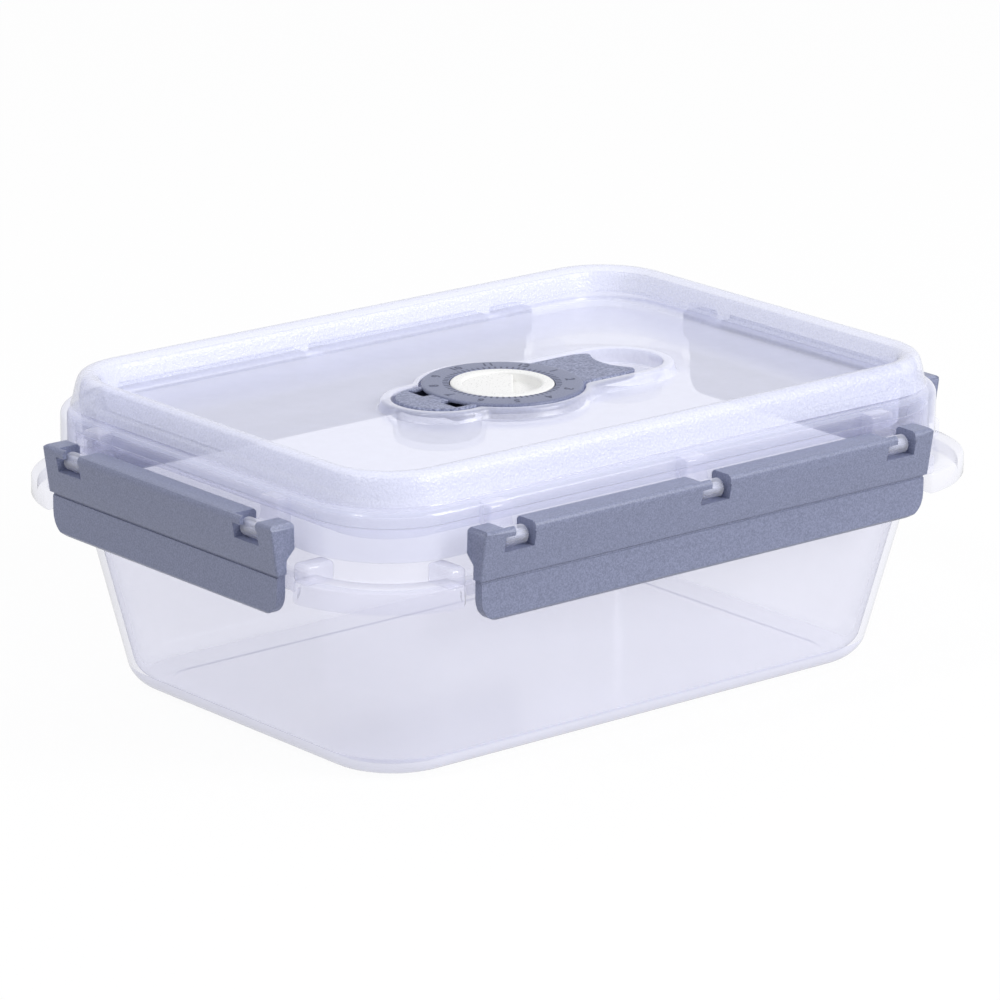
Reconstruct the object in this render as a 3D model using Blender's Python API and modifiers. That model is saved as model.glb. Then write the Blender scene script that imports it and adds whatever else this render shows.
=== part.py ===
"""Food storage box with a clip-on lid, four latches, a vent lever and a date dial.

Metres, +Z up. The long sides run along X and the short sides along Y, and the
origin is the centre of the surface that the tub stands on. The tub and the lid
are lofts through rounded outlines, the latches are one outline pushed along
their length, and the dial and the vent plug are turned.
"""
import math

import bmesh
import bpy
from mathutils import Matrix, Vector

MM = 0.001

# General
GAP = 0.3 * MM
EMBED = 0.6 * MM
OVERRUN = 4.0 * MM
MERGE_DISTANCE = 0.0005 * MM
CORNER_STEPS = 8
ROUND_STEPS = 44

# Outline of the lid skirt, which the whole box follows
LID_LENGTH = 210.0 * MM
LID_WIDTH = 149.2 * MM
LID_CORNER = 26.0 * MM

# Tub
RIM_HEIGHT = 71.7 * MM
FLANGE_DROP = 13.7 * MM
FLANGE_THICKNESS = 1.8 * MM
TUB_WALL = 1.9 * MM
TUB_FLOOR = 2.0 * MM
WALL_STEP = 1.5 * MM
WALL_TAPER = 0.2
CORNER_SHRINK = 2.0 * MM
CORNER_TAPER = 3.0 * MM
BASE_ROUND = 6.0 * MM
BASE_STEPS = 5
FOOT_WIDTH = 4.0 * MM
FOOT_HEIGHT = 0.8 * MM
RIM_THICKNESS = 2.0 * MM
RIM_CHAMFER = 0.4 * MM
COLLAR_BLEND = 4.0 * MM

# Flange of the tub: a rib that the latches catch, and an ear at each corner
RIB_REACH = 5.0 * MM
RIB_THICKNESS = 1.6 * MM
RIB_DEPTH = 3.6 * MM
RIB_CHAMFER = 0.4 * MM
EAR_REACH = 8.0 * MM
EAR_LIP = 5.8 * MM
EAR_RISE = 0.4 * MM
EAR_ROOT = 2.0 * MM
BLOCK_LENGTH = 5.5 * MM
BLOCK_REACH = 6.0 * MM
BLOCK_CLEARANCE = 0.9 * MM
BLOCK_ROUND = 1.2 * MM
LATCH_END_GAP = 1.2 * MM

# Gasket
GASKET_HEIGHT = 3.0 * MM
TONGUE_HEIGHT = 3.0 * MM

# Lid
LID_WALL = 1.7 * MM
SKIRT_WALL = 1.8 * MM
SKIRT_DEPTH = 13.3 * MM
LEDGE_ROUND = 3.2 * MM
FLOOR_DROP = 0.5 * MM
HUMP_FOOT = 2.6 * MM
HUMP_WIDTH = 10.0 * MM
HUMP_RISE = 8.7 * MM
HUMP_OUTER_WALL = 2.4 * MM
HUMP_INNER_WALL = 2.7 * MM
CREST_WALL = 2.1 * MM
VOID_CHAMFER = 1.2 * MM
VOID_DRAFT = 0.4 * MM
PLUG_WALL = 1.6 * MM
PLUG_DEPTH = 10.0 * MM
FLOOR_FILLET = 1.2 * MM

# Hump of the lid, from its outer foot over the crest to its inner foot:
# shares of its width and of its rise
HUMP_SHARES = (
    (0.02, 0.02), (0.10, 0.42), (0.16, 0.70), (0.21, 0.85), (0.30, 0.955), (0.44, 1.0),
    (0.60, 0.977), (0.73, 0.905), (0.80, 0.79), (0.86, 0.50), (0.91, 0.22),
)

# Latch hinges: pins that are part of the latches turn in open rings that are part of the lid
PIN_DROP = 8.1 * MM
PIN_RADIUS = 1.2 * MM
PIN_STEPS = 12
HOOK_WALL = 0.95 * MM
HOOK_WIDTH = 7.5 * MM
HOOK_SLOT = 2.0 * MM
HOOK_ARM = 2.1 * MM
HOOK_STEPS = 12
HOOK_ROOM = 0.35 * MM
HOOK_SIDE_ROOM = 1.25 * MM
BRACKET_DROP = 0.4 * MM
BRACKET_REACH = 4.0 * MM
BRACKET_ROUND = 0.9 * MM
BRACKET_ROOT = 1.3 * MM

# Latches
LONG_LATCH_INSET = 27.0 * MM
SHORT_LATCH_INSET = 25.7 * MM
LONG_HINGE_INSET = 11.7 * MM
SHORT_HINGE_INSET = 11.1 * MM
LATCH_BACK = 3.9 * MM
LATCH_CLEARANCE = 3.9 * MM
SWING_CLEARANCE = 0.8 * MM
LATCH_TOP = 3.6 * MM
LATCH_BLOCK_DEPTH = 3.4 * MM
LATCH_CREASE = 9.6 * MM
LATCH_LEAN = 2.1 * MM
LATCH_GROOVE = 0.7 * MM
LATCH_ROUND = 1.3 * MM
STRIP_THICKNESS = 1.25 * MM
FLAP_THICKNESS = 2.65 * MM
FLAP_CLEARANCE = 1.5 * MM
FLAP_TAIL = 2.3 * MM
FLAP_CORNER = 5.5 * MM
FLAP_EDGE = 0.8 * MM
TOP_CORNER = 1.0 * MM
CATCH_RUN = 0.6 * MM
CATCH_LEAD = 2.1 * MM
WINDOW_RISE = 1.3 * MM
CORE_WALL = 1.8 * MM
CORE_CHEEK = 2.2 * MM
CORE_DEPTH = 5.2 * MM

# Date dial
DIAL_RADIUS = 14.1 * MM
DIAL_CLEARANCE = 0.3 * MM
DIAL_FLANGE = 1.5 * MM
DIAL_PROUD = 0.1 * MM
DIAL_CUP_RADIUS = 10.9 * MM
DIAL_RECESS_RADIUS = 9.8 * MM
DIAL_RECESS_DEPTH = 2.4 * MM
DIAL_FLOOR = 1.1 * MM
DIAL_SNAP = 0.7 * MM
DIAL_SNAP_HEIGHT = 0.6 * MM
DIAL_EDGE = 0.3 * MM
GRIP_WIDTH = 5.2 * MM
GRIP_SINK = 0.2 * MM
GRIP_ANGLE = math.radians(50.0)

# Vent lever: a ring round the dial, a round head with two square wells, a fishtail
RING_WIDTH = 7.6 * MM
RING_RISE = 0.4 * MM
RING_CLEARANCE = 0.5 * MM
SEAT_THICKNESS = 1.1 * MM
LEVER_PROUD = 0.1 * MM
LEVER_EDGE = 0.75 * MM
HEAD_RADIUS = 12.0 * MM
HEAD_INSET = 0.3 * MM
HEAD_CLEARANCE = 0.8 * MM
TAIL_WIDTH = 23.6 * MM
TAIL_SETBACK = 1.2 * MM
TAIL_CORNER = 2.2 * MM
TAIL_NOTCH = 3.0 * MM
TAIL_DROP = 0.2 * MM
TAIL_STEPS = 8
TAIL_CLEARANCE = 0.9 * MM
WELL_LENGTH = 5.6 * MM
WELL_WIDTH = 5.9 * MM
WELL_SPACING = 14.4 * MM
WELL_SHIFT = 0.6 * MM
WELL_WALL = 0.8 * MM
WELL_DEPTH = 4.0 * MM
HINGE_SHIFT = 4.6 * MM
HINGE_RISE = 0.3 * MM
HINGE_PIN_RADIUS = 1.0 * MM
HINGE_PIN_REACH = 2.2 * MM

# Boss in the lid floor that holds the vent lever: three lobes along X
BOSS_RISE = 2.8 * MM
BOSS_BAND = 3.0 * MM
BOSS_RING_BAND = 1.7 * MM
BOSS_DRAFT = 0.7 * MM
BOSS_ROUND = 0.9 * MM
POCKET_CLEARANCE = 1.1 * MM
POCKET_FLOOR = 1.7 * MM
LOBE_REACH = 19.0 * MM
LOBE_CLEARANCE = 0.8 * MM
FINGER_DEPTH = 3.3 * MM
CUP_CLEARANCE = 0.1 * MM
CUP_WALL = 1.2 * MM
CUP_FLOOR = 1.6 * MM
CUP_SHRINK = 1.7 * MM

# Vent plug under the lever, and its hole in the pocket floor
PLUG_INSET = 3.7 * MM
VENT_RADIUS = 2.4 * MM
VENT_CLEARANCE = 0.5 * MM
VENT_TAPER = 0.6 * MM
VENT_FLANGE = 3.4 * MM

# Heights and places that follow from the sizes above
FLANGE_HEIGHT = RIM_HEIGHT - FLANGE_DROP
FLANGE_BASE = FLANGE_HEIGHT - FLANGE_THICKNESS
COLLAR_INSET = SKIRT_WALL + GAP
BODY_INSET = COLLAR_INSET + WALL_STEP
LEDGE_Z = RIM_HEIGHT + GAP + GASKET_HEIGHT + GAP + LID_WALL
SKIRT_BASE_Z = LEDGE_Z - SKIRT_DEPTH
LID_FLOOR_Z = LEDGE_Z - FLOOR_DROP
FLOOR_INSET = HUMP_FOOT + HUMP_WIDTH
VOID_OUTER = HUMP_FOOT + HUMP_OUTER_WALL
VOID_INNER = FLOOR_INSET - HUMP_INNER_WALL

LONG_LATCH_LENGTH = LID_LENGTH - 2 * LONG_LATCH_INSET
SHORT_LATCH_LENGTH = LID_WIDTH - 2 * SHORT_LATCH_INSET
HOOK_RADIUS = PIN_RADIUS + GAP + HOOK_WALL
NOTCH_DROP = HOOK_RADIUS + HOOK_ROOM
NOTCH_WIDTH = HOOK_WIDTH + 2 * HOOK_SIDE_ROOM
LATCH_FRONT = NOTCH_DROP + STRIP_THICKNESS
SWING_RADIUS = math.hypot(LATCH_FRONT, LATCH_TOP) + SWING_CLEARANCE
PIN_OFFSET = LATCH_BACK + LATCH_CLEARANCE
PIN_Z = LEDGE_Z - PIN_DROP

BOSS_Z = LID_FLOOR_Z + BOSS_RISE
LEVER_TOP_Z = BOSS_Z + LEVER_PROUD
RING_TOP_Z = LEVER_TOP_Z + RING_RISE
DIAL_TOP_Z = RING_TOP_Z + DIAL_PROUD
DIAL_SEAT_Z = DIAL_TOP_Z - DIAL_FLANGE - GAP
LEVER_BASE_Z = DIAL_SEAT_Z - SEAT_THICKNESS
DIAL_RECESS_Z = DIAL_TOP_Z - DIAL_RECESS_DEPTH
DIAL_BASE_Z = min(DIAL_RECESS_Z - DIAL_FLOOR, LEVER_BASE_Z - GAP - DIAL_SNAP_HEIGHT)
POCKET_Z = DIAL_BASE_Z - POCKET_CLEARANCE
HINGE_Z = LEVER_BASE_Z + HINGE_RISE
CUP_Z = HINGE_Z - (HEAD_RADIUS - HINGE_SHIFT) - CUP_CLEARANCE

RING_RADIUS = DIAL_RADIUS + DIAL_CLEARANCE + RING_WIDTH
HEAD_X = HEAD_INSET - RING_RADIUS
WELL_X = HEAD_X + WELL_SHIFT
HINGE_X = HEAD_X - HINGE_SHIFT
PLUG_X = RING_RADIUS - PLUG_INSET
LOBE_X = RING_RADIUS + LOBE_REACH
LOBE_RADIUS = TAIL_WIDTH / 2 + LOBE_CLEARANCE
TAIL_END_X = LOBE_X - TAIL_SETBACK

PARTS = "food_storage_box"
CUTTERS = "food_storage_box_cutters"


def clear_scene():
    """Remove what the file holds, then make the two collections."""
    for item in list(bpy.data.objects):
        bpy.data.objects.remove(item, do_unlink=True)
    for name in (PARTS, CUTTERS):
        collection = bpy.data.collections.new(name)
        bpy.context.scene.collection.children.link(collection)


def plastic(name, colour, roughness, alpha):
    """A plain Principled material."""
    material = bpy.data.materials.new(name)
    material.use_nodes = True
    shader = material.node_tree.nodes["Principled BSDF"]
    shader.inputs["Base Color"].default_value = (*colour, 1.0)
    shader.inputs["Roughness"].default_value = roughness
    shader.inputs["Metallic"].default_value = 0.0
    shader.inputs["Alpha"].default_value = alpha
    return material


def link_object(item, collection):
    """Put an object in its collection; a cutter shows as wires and isn't rendered."""
    bpy.data.collections[collection].objects.link(item)
    if collection == CUTTERS:
        item.display_type = 'WIRE'
        item.hide_render = True


def add_object(name, mesh, collection, matrix):
    """Turn a finished bmesh into an object with outward faces and smooth rounds."""
    bmesh.ops.recalc_face_normals(mesh, faces=mesh.faces)
    data = bpy.data.meshes.new(name)
    mesh.to_mesh(data)
    mesh.free()
    data.shade_smooth()
    data.set_sharp_from_angle(angle=math.radians(35.0))
    item = bpy.data.objects.new(name, data)
    item.matrix_world = matrix
    link_object(item, collection)
    return item


def combine(target, tools, operation):
    """Join, cut or trim one object by a set of others, all in one step."""
    group = bpy.data.collections.new(target.name + "_" + operation.lower())
    bpy.data.collections[CUTTERS].children.link(group)
    for tool in tools:
        group.objects.link(tool)
        bpy.data.collections[CUTTERS].objects.unlink(tool)
    step = target.modifiers.new(group.name, 'BOOLEAN')
    step.operation = operation
    step.solver = 'EXACT'
    step.operand_type = 'COLLECTION'
    step.collection = group


def rounded_outline(half_length, half_width, radius, z):
    """Points round a rectangle with round corners, at height z."""
    points = []
    for corner, (side_x, side_y) in enumerate(((1, 1), (-1, 1), (-1, -1), (1, -1))):
        for step in range(CORNER_STEPS + 1):
            angle = math.pi / 2 * (corner + step / CORNER_STEPS)
            x = side_x * (half_length - radius) + radius * math.cos(angle)
            y = side_y * (half_width - radius) + radius * math.sin(angle)
            points.append(Vector((x, y, z)))
    return points


def lid_outline(inset, z):
    """The lid's outline drawn in by an inset; its corners stay concentric."""
    return rounded_outline(LID_LENGTH / 2 - inset, LID_WIDTH / 2 - inset, LID_CORNER - inset, z)


def body_outline(z, inward):
    """The tub's tapered outer wall at height z, drawn in by a further amount."""
    depth = (FLANGE_BASE - z) / FLANGE_BASE
    radius = LID_CORNER - CORNER_SHRINK - CORNER_TAPER * depth - inward
    inset = BODY_INSET + (FLANGE_BASE - z) * WALL_TAPER + inward
    return rounded_outline(LID_LENGTH / 2 - inset, LID_WIDTH / 2 - inset, radius, z)


def loft(name, outlines, collection, closed):
    """Skin a row of outlines; closed joins the last to the first, else both ends are capped."""
    mesh = bmesh.new()
    rings = [[mesh.verts.new(point) for point in outline] for outline in outlines]
    pairs = list(zip(rings, rings[1:]))
    if closed:
        pairs.append((rings[-1], rings[0]))
    else:
        mesh.faces.new(rings[0])
        mesh.faces.new(rings[-1])
    for lower, upper in pairs:
        for index in range(len(lower)):
            mesh.faces.new((lower[index - 1], lower[index], upper[index], upper[index - 1]))
    return add_object(name, mesh, collection, Matrix.Identity(4))


def prism(name, points, direction, collection, matrix):
    """Push a flat outline along a direction."""
    mesh = bmesh.new()
    face = mesh.faces.new([mesh.verts.new(point) for point in points])
    pushed = bmesh.ops.extrude_face_region(mesh, geom=[face])
    moved = [item for item in pushed["geom"] if isinstance(item, bmesh.types.BMVert)]
    bmesh.ops.translate(mesh, verts=moved, vec=direction)
    return add_object(name, mesh, collection, matrix)


def boxes(name, spans, collection, matrix, rounding=0):
    """Boxes from pairs of opposite corners, as one object."""
    mesh = bmesh.new()
    for low, high in spans:
        low, high = Vector(low), Vector(high)
        middle, size = (low + high) / 2, high - low
        place = Matrix.Translation(middle) @ Matrix.Diagonal((*size, 1))
        bmesh.ops.create_cube(mesh, size=1, matrix=place)
    if rounding:
        bmesh.ops.bevel(mesh, geom=mesh.edges[:], offset=rounding, segments=2,
                        affect='EDGES', profile=0.5)
    return add_object(name, mesh, collection, matrix)


def cone(name, centre, radius_low, radius_high, z_low, z_high, collection):
    """An upright cylinder or cone."""
    mesh = bmesh.new()
    place = Matrix.Translation((*centre, (z_low + z_high) / 2))
    bmesh.ops.create_cone(mesh, cap_ends=True, segments=ROUND_STEPS, radius1=radius_low,
                          radius2=radius_high, depth=z_high - z_low, matrix=place)
    return add_object(name, mesh, collection, Matrix.Identity(4))


def rods(name, centres, radius, length, axis, collection, matrix):
    """Level cylinders about X or Y, as one object."""
    mesh = bmesh.new()
    turn = Matrix.Rotation(math.pi / 2, 4, 'Y' if axis == 'X' else 'X')
    for centre in centres:
        bmesh.ops.create_cone(mesh, cap_ends=True, segments=PIN_STEPS, radius1=radius,
                              radius2=radius, depth=length, matrix=Matrix.Translation(centre) @ turn)
    return add_object(name, mesh, collection, matrix)


def turned(name, profile, place, collection):
    """A profile of (radius, z) points, top to bottom, turned about Z."""
    mesh = bmesh.new()
    points = [mesh.verts.new((radius, 0, z)) for radius, z in profile]
    for first, second in zip(points, points[1:]):
        mesh.edges.new((first, second))
    data = bpy.data.meshes.new(name)
    mesh.to_mesh(data)
    mesh.free()
    item = bpy.data.objects.new(name, data)
    item.location = place
    link_object(item, collection)
    screw = item.modifiers.new("turn", 'SCREW')
    screw.steps = ROUND_STEPS
    screw.render_steps = ROUND_STEPS
    screw.use_merge_vertices = True
    screw.merge_threshold = MERGE_DISTANCE
    return item


def arc(centre, radius, start, end, steps):
    """Points on an arc in a plane, both ends included; angles in radians."""
    return [
        (centre[0] + radius * math.cos(start + (end - start) * step / steps),
         centre[1] + radius * math.sin(start + (end - start) * step / steps))
        for step in range(steps + 1)
    ]


def build_tub(material):
    """The tub: tapered walls, an upright collar, a flange with a rib, ears and blocks."""
    inner_round = BASE_ROUND - TUB_WALL
    floor = FOOT_HEIGHT + TUB_FLOOR
    outlines = [
        body_outline(0, BASE_ROUND + FOOT_WIDTH + FOOT_HEIGHT),
        body_outline(0, BASE_ROUND + FOOT_WIDTH),
    ]
    for point in outlines[0]:
        point.z = FOOT_HEIGHT
    for step in range(BASE_STEPS + 1):
        angle = math.pi / 2 * step / BASE_STEPS
        rise = BASE_ROUND * (1 - math.cos(angle))
        outlines.append(body_outline(rise, BASE_ROUND * (1 - math.sin(angle))))
    outlines += [
        body_outline(FLANGE_BASE, 0),
        lid_outline(COLLAR_INSET, FLANGE_BASE + WALL_STEP / 2),
        lid_outline(COLLAR_INSET, RIM_HEIGHT - RIM_CHAMFER),
        lid_outline(COLLAR_INSET + RIM_CHAMFER, RIM_HEIGHT),
        lid_outline(COLLAR_INSET + RIM_THICKNESS - RIM_CHAMFER, RIM_HEIGHT),
        lid_outline(COLLAR_INSET + RIM_THICKNESS, RIM_HEIGHT - RIM_CHAMFER),
        lid_outline(COLLAR_INSET + RIM_THICKNESS, FLANGE_BASE + COLLAR_BLEND),
        body_outline(FLANGE_BASE, TUB_WALL),
    ]
    for step in range(BASE_STEPS + 1):
        angle = math.pi / 2 * (1 - step / BASE_STEPS)
        rise = floor + inner_round * (1 - math.cos(angle))
        outlines.append(body_outline(rise, TUB_WALL + inner_round * (1 - math.sin(angle))))
    tub = loft("tub", outlines, PARTS, closed=False)
    tub.data.materials.append(material)

    root = COLLAR_INSET + RIM_THICKNESS
    rib_base = FLANGE_HEIGHT - RIB_DEPTH
    rib = [
        lid_outline(root, FLANGE_BASE),
        lid_outline(RIB_THICKNESS - RIB_REACH, FLANGE_BASE),
        lid_outline(RIB_THICKNESS - RIB_REACH, rib_base),
        lid_outline(-RIB_REACH, rib_base),
        lid_outline(-RIB_REACH, FLANGE_HEIGHT - RIB_CHAMFER),
        lid_outline(RIB_CHAMFER - RIB_REACH, FLANGE_HEIGHT),
        lid_outline(root, FLANGE_HEIGHT),
    ]
    joined = [loft("flange_rib", rib, CUTTERS, closed=True), build_ears(), build_blocks()]
    combine(tub, joined, 'UNION')


def build_ears():
    """The flange's wider, lipped corners, trimmed to the space between the latches."""
    top = FLANGE_HEIGHT + EAR_RISE
    base = FLANGE_BASE + EAR_RISE
    lip = top - EAR_LIP
    ring = [
        lid_outline(-EAR_ROOT, base),
        lid_outline(RIB_THICKNESS - EAR_REACH, base),
        lid_outline(RIB_THICKNESS - EAR_REACH, lip),
        lid_outline(-EAR_REACH, lip),
        lid_outline(-EAR_REACH, top - RIB_CHAMFER),
        lid_outline(RIB_CHAMFER - EAR_REACH, top),
        lid_outline(-EAR_ROOT, top),
    ]
    ears = loft("corner_ears", ring, CUTTERS, closed=True)
    start_x = LONG_LATCH_LENGTH / 2 + LATCH_END_GAP
    start_y = SHORT_LATCH_LENGTH / 2 + LATCH_END_GAP
    end_x = LID_LENGTH / 2 + EAR_REACH + OVERRUN
    end_y = LID_WIDTH / 2 + EAR_REACH + OVERRUN
    spans = []
    for side_x in (1, -1):
        for side_y in (1, -1):
            xs = sorted((side_x * start_x, side_x * end_x))
            ys = sorted((side_y * start_y, side_y * end_y))
            spans.append(((xs[0], ys[0], lip - OVERRUN), (xs[1], ys[1], top + OVERRUN)))
    combine(ears, [boxes("ear_corners", spans, CUTTERS, Matrix.Identity(4))], 'INTERSECT')
    return ears


def build_blocks():
    """Upright blocks on the flange beside each latch end."""
    low = FLANGE_HEIGHT - FLANGE_THICKNESS / 2
    high = SKIRT_BASE_Z - BLOCK_CLEARANCE
    near_x = LONG_LATCH_LENGTH / 2 + LATCH_END_GAP
    near_y = SHORT_LATCH_LENGTH / 2 + LATCH_END_GAP
    root = COLLAR_INSET + RIM_THICKNESS - GAP
    spans = []
    for side_x in (1, -1):
        for side_y in (1, -1):
            long_x = sorted((side_x * near_x, side_x * (near_x + BLOCK_LENGTH)))
            long_y = sorted((side_y * (LID_WIDTH / 2 - root), side_y * (LID_WIDTH / 2 + BLOCK_REACH)))
            short_x = sorted((side_x * (LID_LENGTH / 2 - root), side_x * (LID_LENGTH / 2 + BLOCK_REACH)))
            short_y = sorted((side_y * near_y, side_y * (near_y + BLOCK_LENGTH)))
            for xs, ys in ((long_x, long_y), (short_x, short_y)):
                spans.append(((xs[0], ys[0], low), (xs[1], ys[1], high)))
    return boxes("flange_blocks", spans, CUTTERS, Matrix.Identity(4), BLOCK_ROUND)


def build_gasket(material):
    """A ring over the tub's rim with a tongue that sits in the lid's hollow hump."""
    low = RIM_HEIGHT + GAP
    high = low + GASKET_HEIGHT
    outer = SKIRT_WALL + GAP
    inner = VOID_INNER - GAP
    tongue_out = VOID_OUTER + VOID_DRAFT + GAP
    tongue_in = VOID_INNER - VOID_DRAFT - GAP
    section = (
        (outer, low), (outer, high), (tongue_out, high), (tongue_out, high + TONGUE_HEIGHT),
        (tongue_in, high + TONGUE_HEIGHT), (inner, high), (inner, low),
    )
    gasket = loft("gasket", [lid_outline(inset, z) for inset, z in section], PARTS, closed=True)
    gasket.data.materials.append(material)


def build_lid(material):
    """The lid shell, the lever's boss with its pocket and hinge sockets, and the latch hooks."""
    ceiling = LEDGE_Z - LID_WALL
    void_top = LEDGE_Z + HUMP_RISE - CREST_WALL
    plug_base = LEDGE_Z - PLUG_DEPTH
    section = [
        (FLOOR_INSET + FLOOR_FILLET, LID_FLOOR_Z - LID_WALL),
        (VOID_INNER + PLUG_WALL + FLOOR_FILLET, LID_FLOOR_Z - LID_WALL),
        (VOID_INNER + PLUG_WALL, LID_FLOOR_Z - LID_WALL - FLOOR_FILLET),
        (VOID_INNER + PLUG_WALL, plug_base),
        (VOID_INNER, plug_base),
        (VOID_INNER, ceiling),
        (VOID_INNER - VOID_DRAFT, void_top - VOID_CHAMFER),
        (VOID_INNER - VOID_DRAFT - VOID_CHAMFER, void_top),
        (VOID_OUTER + VOID_DRAFT + VOID_CHAMFER, void_top),
        (VOID_OUTER + VOID_DRAFT, void_top - VOID_CHAMFER),
        (VOID_OUTER, ceiling),
        (SKIRT_WALL, ceiling),
        (SKIRT_WALL, SKIRT_BASE_Z),
        (RIM_CHAMFER, SKIRT_BASE_Z),
        (0, SKIRT_BASE_Z + RIM_CHAMFER),
    ]
    edge = arc((LEDGE_ROUND, LEDGE_Z - LEDGE_ROUND), LEDGE_ROUND, math.pi, math.pi / 2, 4)
    section += [(min(inset, HUMP_FOOT), z) for inset, z in edge]
    section += [
        (HUMP_FOOT + HUMP_WIDTH * across, LEDGE_Z + HUMP_RISE * rise) for across, rise in HUMP_SHARES
    ]
    section += [
        (FLOOR_INSET - FLOOR_FILLET / 2, LID_FLOOR_Z + FLOOR_FILLET),
        (FLOOR_INSET + FLOOR_FILLET / 2, LID_FLOOR_Z),
    ]
    lid = loft("lid", [lid_outline(inset, z) for inset, z in section], PARTS, closed=False)
    lid.data.materials.append(material)

    joined = build_boss()
    for side, offsets in hinge_places():
        joined += build_hooks(side, offsets)
    combine(lid, joined, 'UNION')
    combine(lid, build_pocket(), 'DIFFERENCE')


def rounded_drum(name, centre, radius, low, high):
    """A drafted drum with a rounded top edge."""
    profile = [(0, high)]
    profile += arc((radius - BOSS_ROUND, high - BOSS_ROUND), BOSS_ROUND, math.pi / 2, 0, 3)
    profile += [(radius + BOSS_DRAFT, low), (0, low)]
    return turned(name, profile, (*centre, 0), CUTTERS)


def build_boss():
    """Solids added to the lid floor for the three lobes, before the pocket is cut."""
    inside = LID_FLOOR_Z - LID_WALL / 2
    centre = (0, 0)
    head = (HEAD_X, 0)
    lobe = (LOBE_X, 0)
    head_rim = HEAD_RADIUS + HEAD_CLEARANCE + BOSS_BAND
    ring_rim = RING_RADIUS + RING_CLEARANCE + BOSS_RING_BAND
    lobe_rim = LOBE_RADIUS + BOSS_BAND
    cup_rim = HEAD_RADIUS + HEAD_CLEARANCE + CUP_WALL
    pan_base = POCKET_Z - POCKET_FLOOR
    cup_base = CUP_Z - CUP_FLOOR
    finger_base = POCKET_Z - FINGER_DEPTH - POCKET_FLOOR
    neck = TAIL_WIDTH / 2 + TAIL_CLEARANCE + BOSS_BAND
    pan_rim = RING_RADIUS + RING_CLEARANCE + CUP_WALL
    tail_rim = TAIL_WIDTH / 2 + TAIL_CLEARANCE + CUP_WALL
    finger_rim = LOBE_RADIUS + CUP_WALL
    straight = Matrix.Identity(4)
    neck_span = ((0, -neck, inside - BOSS_ROUND), (LOBE_X, neck, BOSS_Z))
    tail_span = ((0, -tail_rim, pan_base), (LOBE_X, tail_rim, inside))
    return [
        rounded_drum("boss_ring", centre, ring_rim, inside, BOSS_Z),
        rounded_drum("boss_head", head, head_rim, inside, BOSS_Z),
        rounded_drum("boss_lobe", lobe, lobe_rim, inside, BOSS_Z),
        boxes("boss_neck", [neck_span], CUTTERS, straight, BOSS_ROUND),
        cone("boss_pan", centre, pan_rim - BOSS_DRAFT, pan_rim, pan_base, inside, CUTTERS),
        boxes("boss_tail_pan", [tail_span], CUTTERS, straight),
        cone("boss_cup", head, cup_rim - CUP_SHRINK, cup_rim, cup_base, inside, CUTTERS),
        cone("boss_finger", lobe, finger_rim - CUP_SHRINK, finger_rim, finger_base, inside, CUTTERS),
    ]


def build_pocket():
    """Solids cut from the boss: the lever's outline, deep cup, finger recess, vent and sockets."""
    high = BOSS_Z + OVERRUN
    joint = POCKET_Z + GAP
    head = (HEAD_X, 0)
    lobe = (LOBE_X, 0)
    head_radius = HEAD_RADIUS + HEAD_CLEARANCE
    ring_radius = RING_RADIUS + RING_CLEARANCE
    tail = TAIL_WIDTH / 2 + TAIL_CLEARANCE
    finger_low = POCKET_Z - FINGER_DEPTH
    vent = VENT_RADIUS + VENT_CLEARANCE
    vent_low = POCKET_Z - POCKET_FLOOR - OVERRUN
    socket = HINGE_PIN_RADIUS + GAP
    socket_length = 2 * (HINGE_PIN_REACH + GAP)
    straight = Matrix.Identity(4)
    return [
        cone("pocket_ring", (0, 0), ring_radius, ring_radius, POCKET_Z, high, CUTTERS),
        cone("pocket_head", head, head_radius, head_radius, POCKET_Z, high, CUTTERS),
        cone("pocket_lobe", lobe, LOBE_RADIUS, LOBE_RADIUS, POCKET_Z, high, CUTTERS),
        boxes("pocket_tail", [((0, -tail, POCKET_Z), (LOBE_X, tail, high))], CUTTERS, straight),
        cone("pocket_cup", head, head_radius - CUP_SHRINK, head_radius, CUP_Z, joint, CUTTERS),
        cone("pocket_finger", lobe, LOBE_RADIUS - CUP_SHRINK, LOBE_RADIUS, finger_low, joint, CUTTERS),
        cone("vent_hole", (PLUG_X, 0), vent, vent, vent_low, joint, CUTTERS),
        rods("hinge_sockets", hinge_pin_places(), socket, socket_length, 'Y', CUTTERS, straight),
    ]


def hinge_pin_places():
    """Where the head's edge crosses the lever's hinge axis, one place on each side."""
    half = math.sqrt(HEAD_RADIUS ** 2 - (HINGE_X - HEAD_X) ** 2)
    return [(HINGE_X, side * half, HINGE_Z) for side in (1, -1)]


def hinge_places():
    """Each side's frame (turn about Z, distance to the skirt) and hinge offsets along it."""
    long_end = LONG_LATCH_LENGTH / 2 - LONG_HINGE_INSET
    short_end = SHORT_LATCH_LENGTH / 2 - SHORT_HINGE_INSET
    longs = (-long_end, 0, long_end)
    shorts = (-short_end, short_end)
    return [
        (side_matrix(math.pi, LID_WIDTH / 2), longs),
        (side_matrix(0, LID_WIDTH / 2), longs),
        (side_matrix(math.pi / 2, LID_LENGTH / 2), shorts),
        (side_matrix(-math.pi / 2, LID_LENGTH / 2), shorts),
    ]


def side_matrix(turn, distance):
    """Frame on one side of the lid: +X along it, +Y outwards, origin on the latch's hinge axis."""
    return Matrix.Rotation(turn, 4, 'Z') @ Matrix.Translation((0, distance + PIN_OFFSET, PIN_Z))


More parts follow.
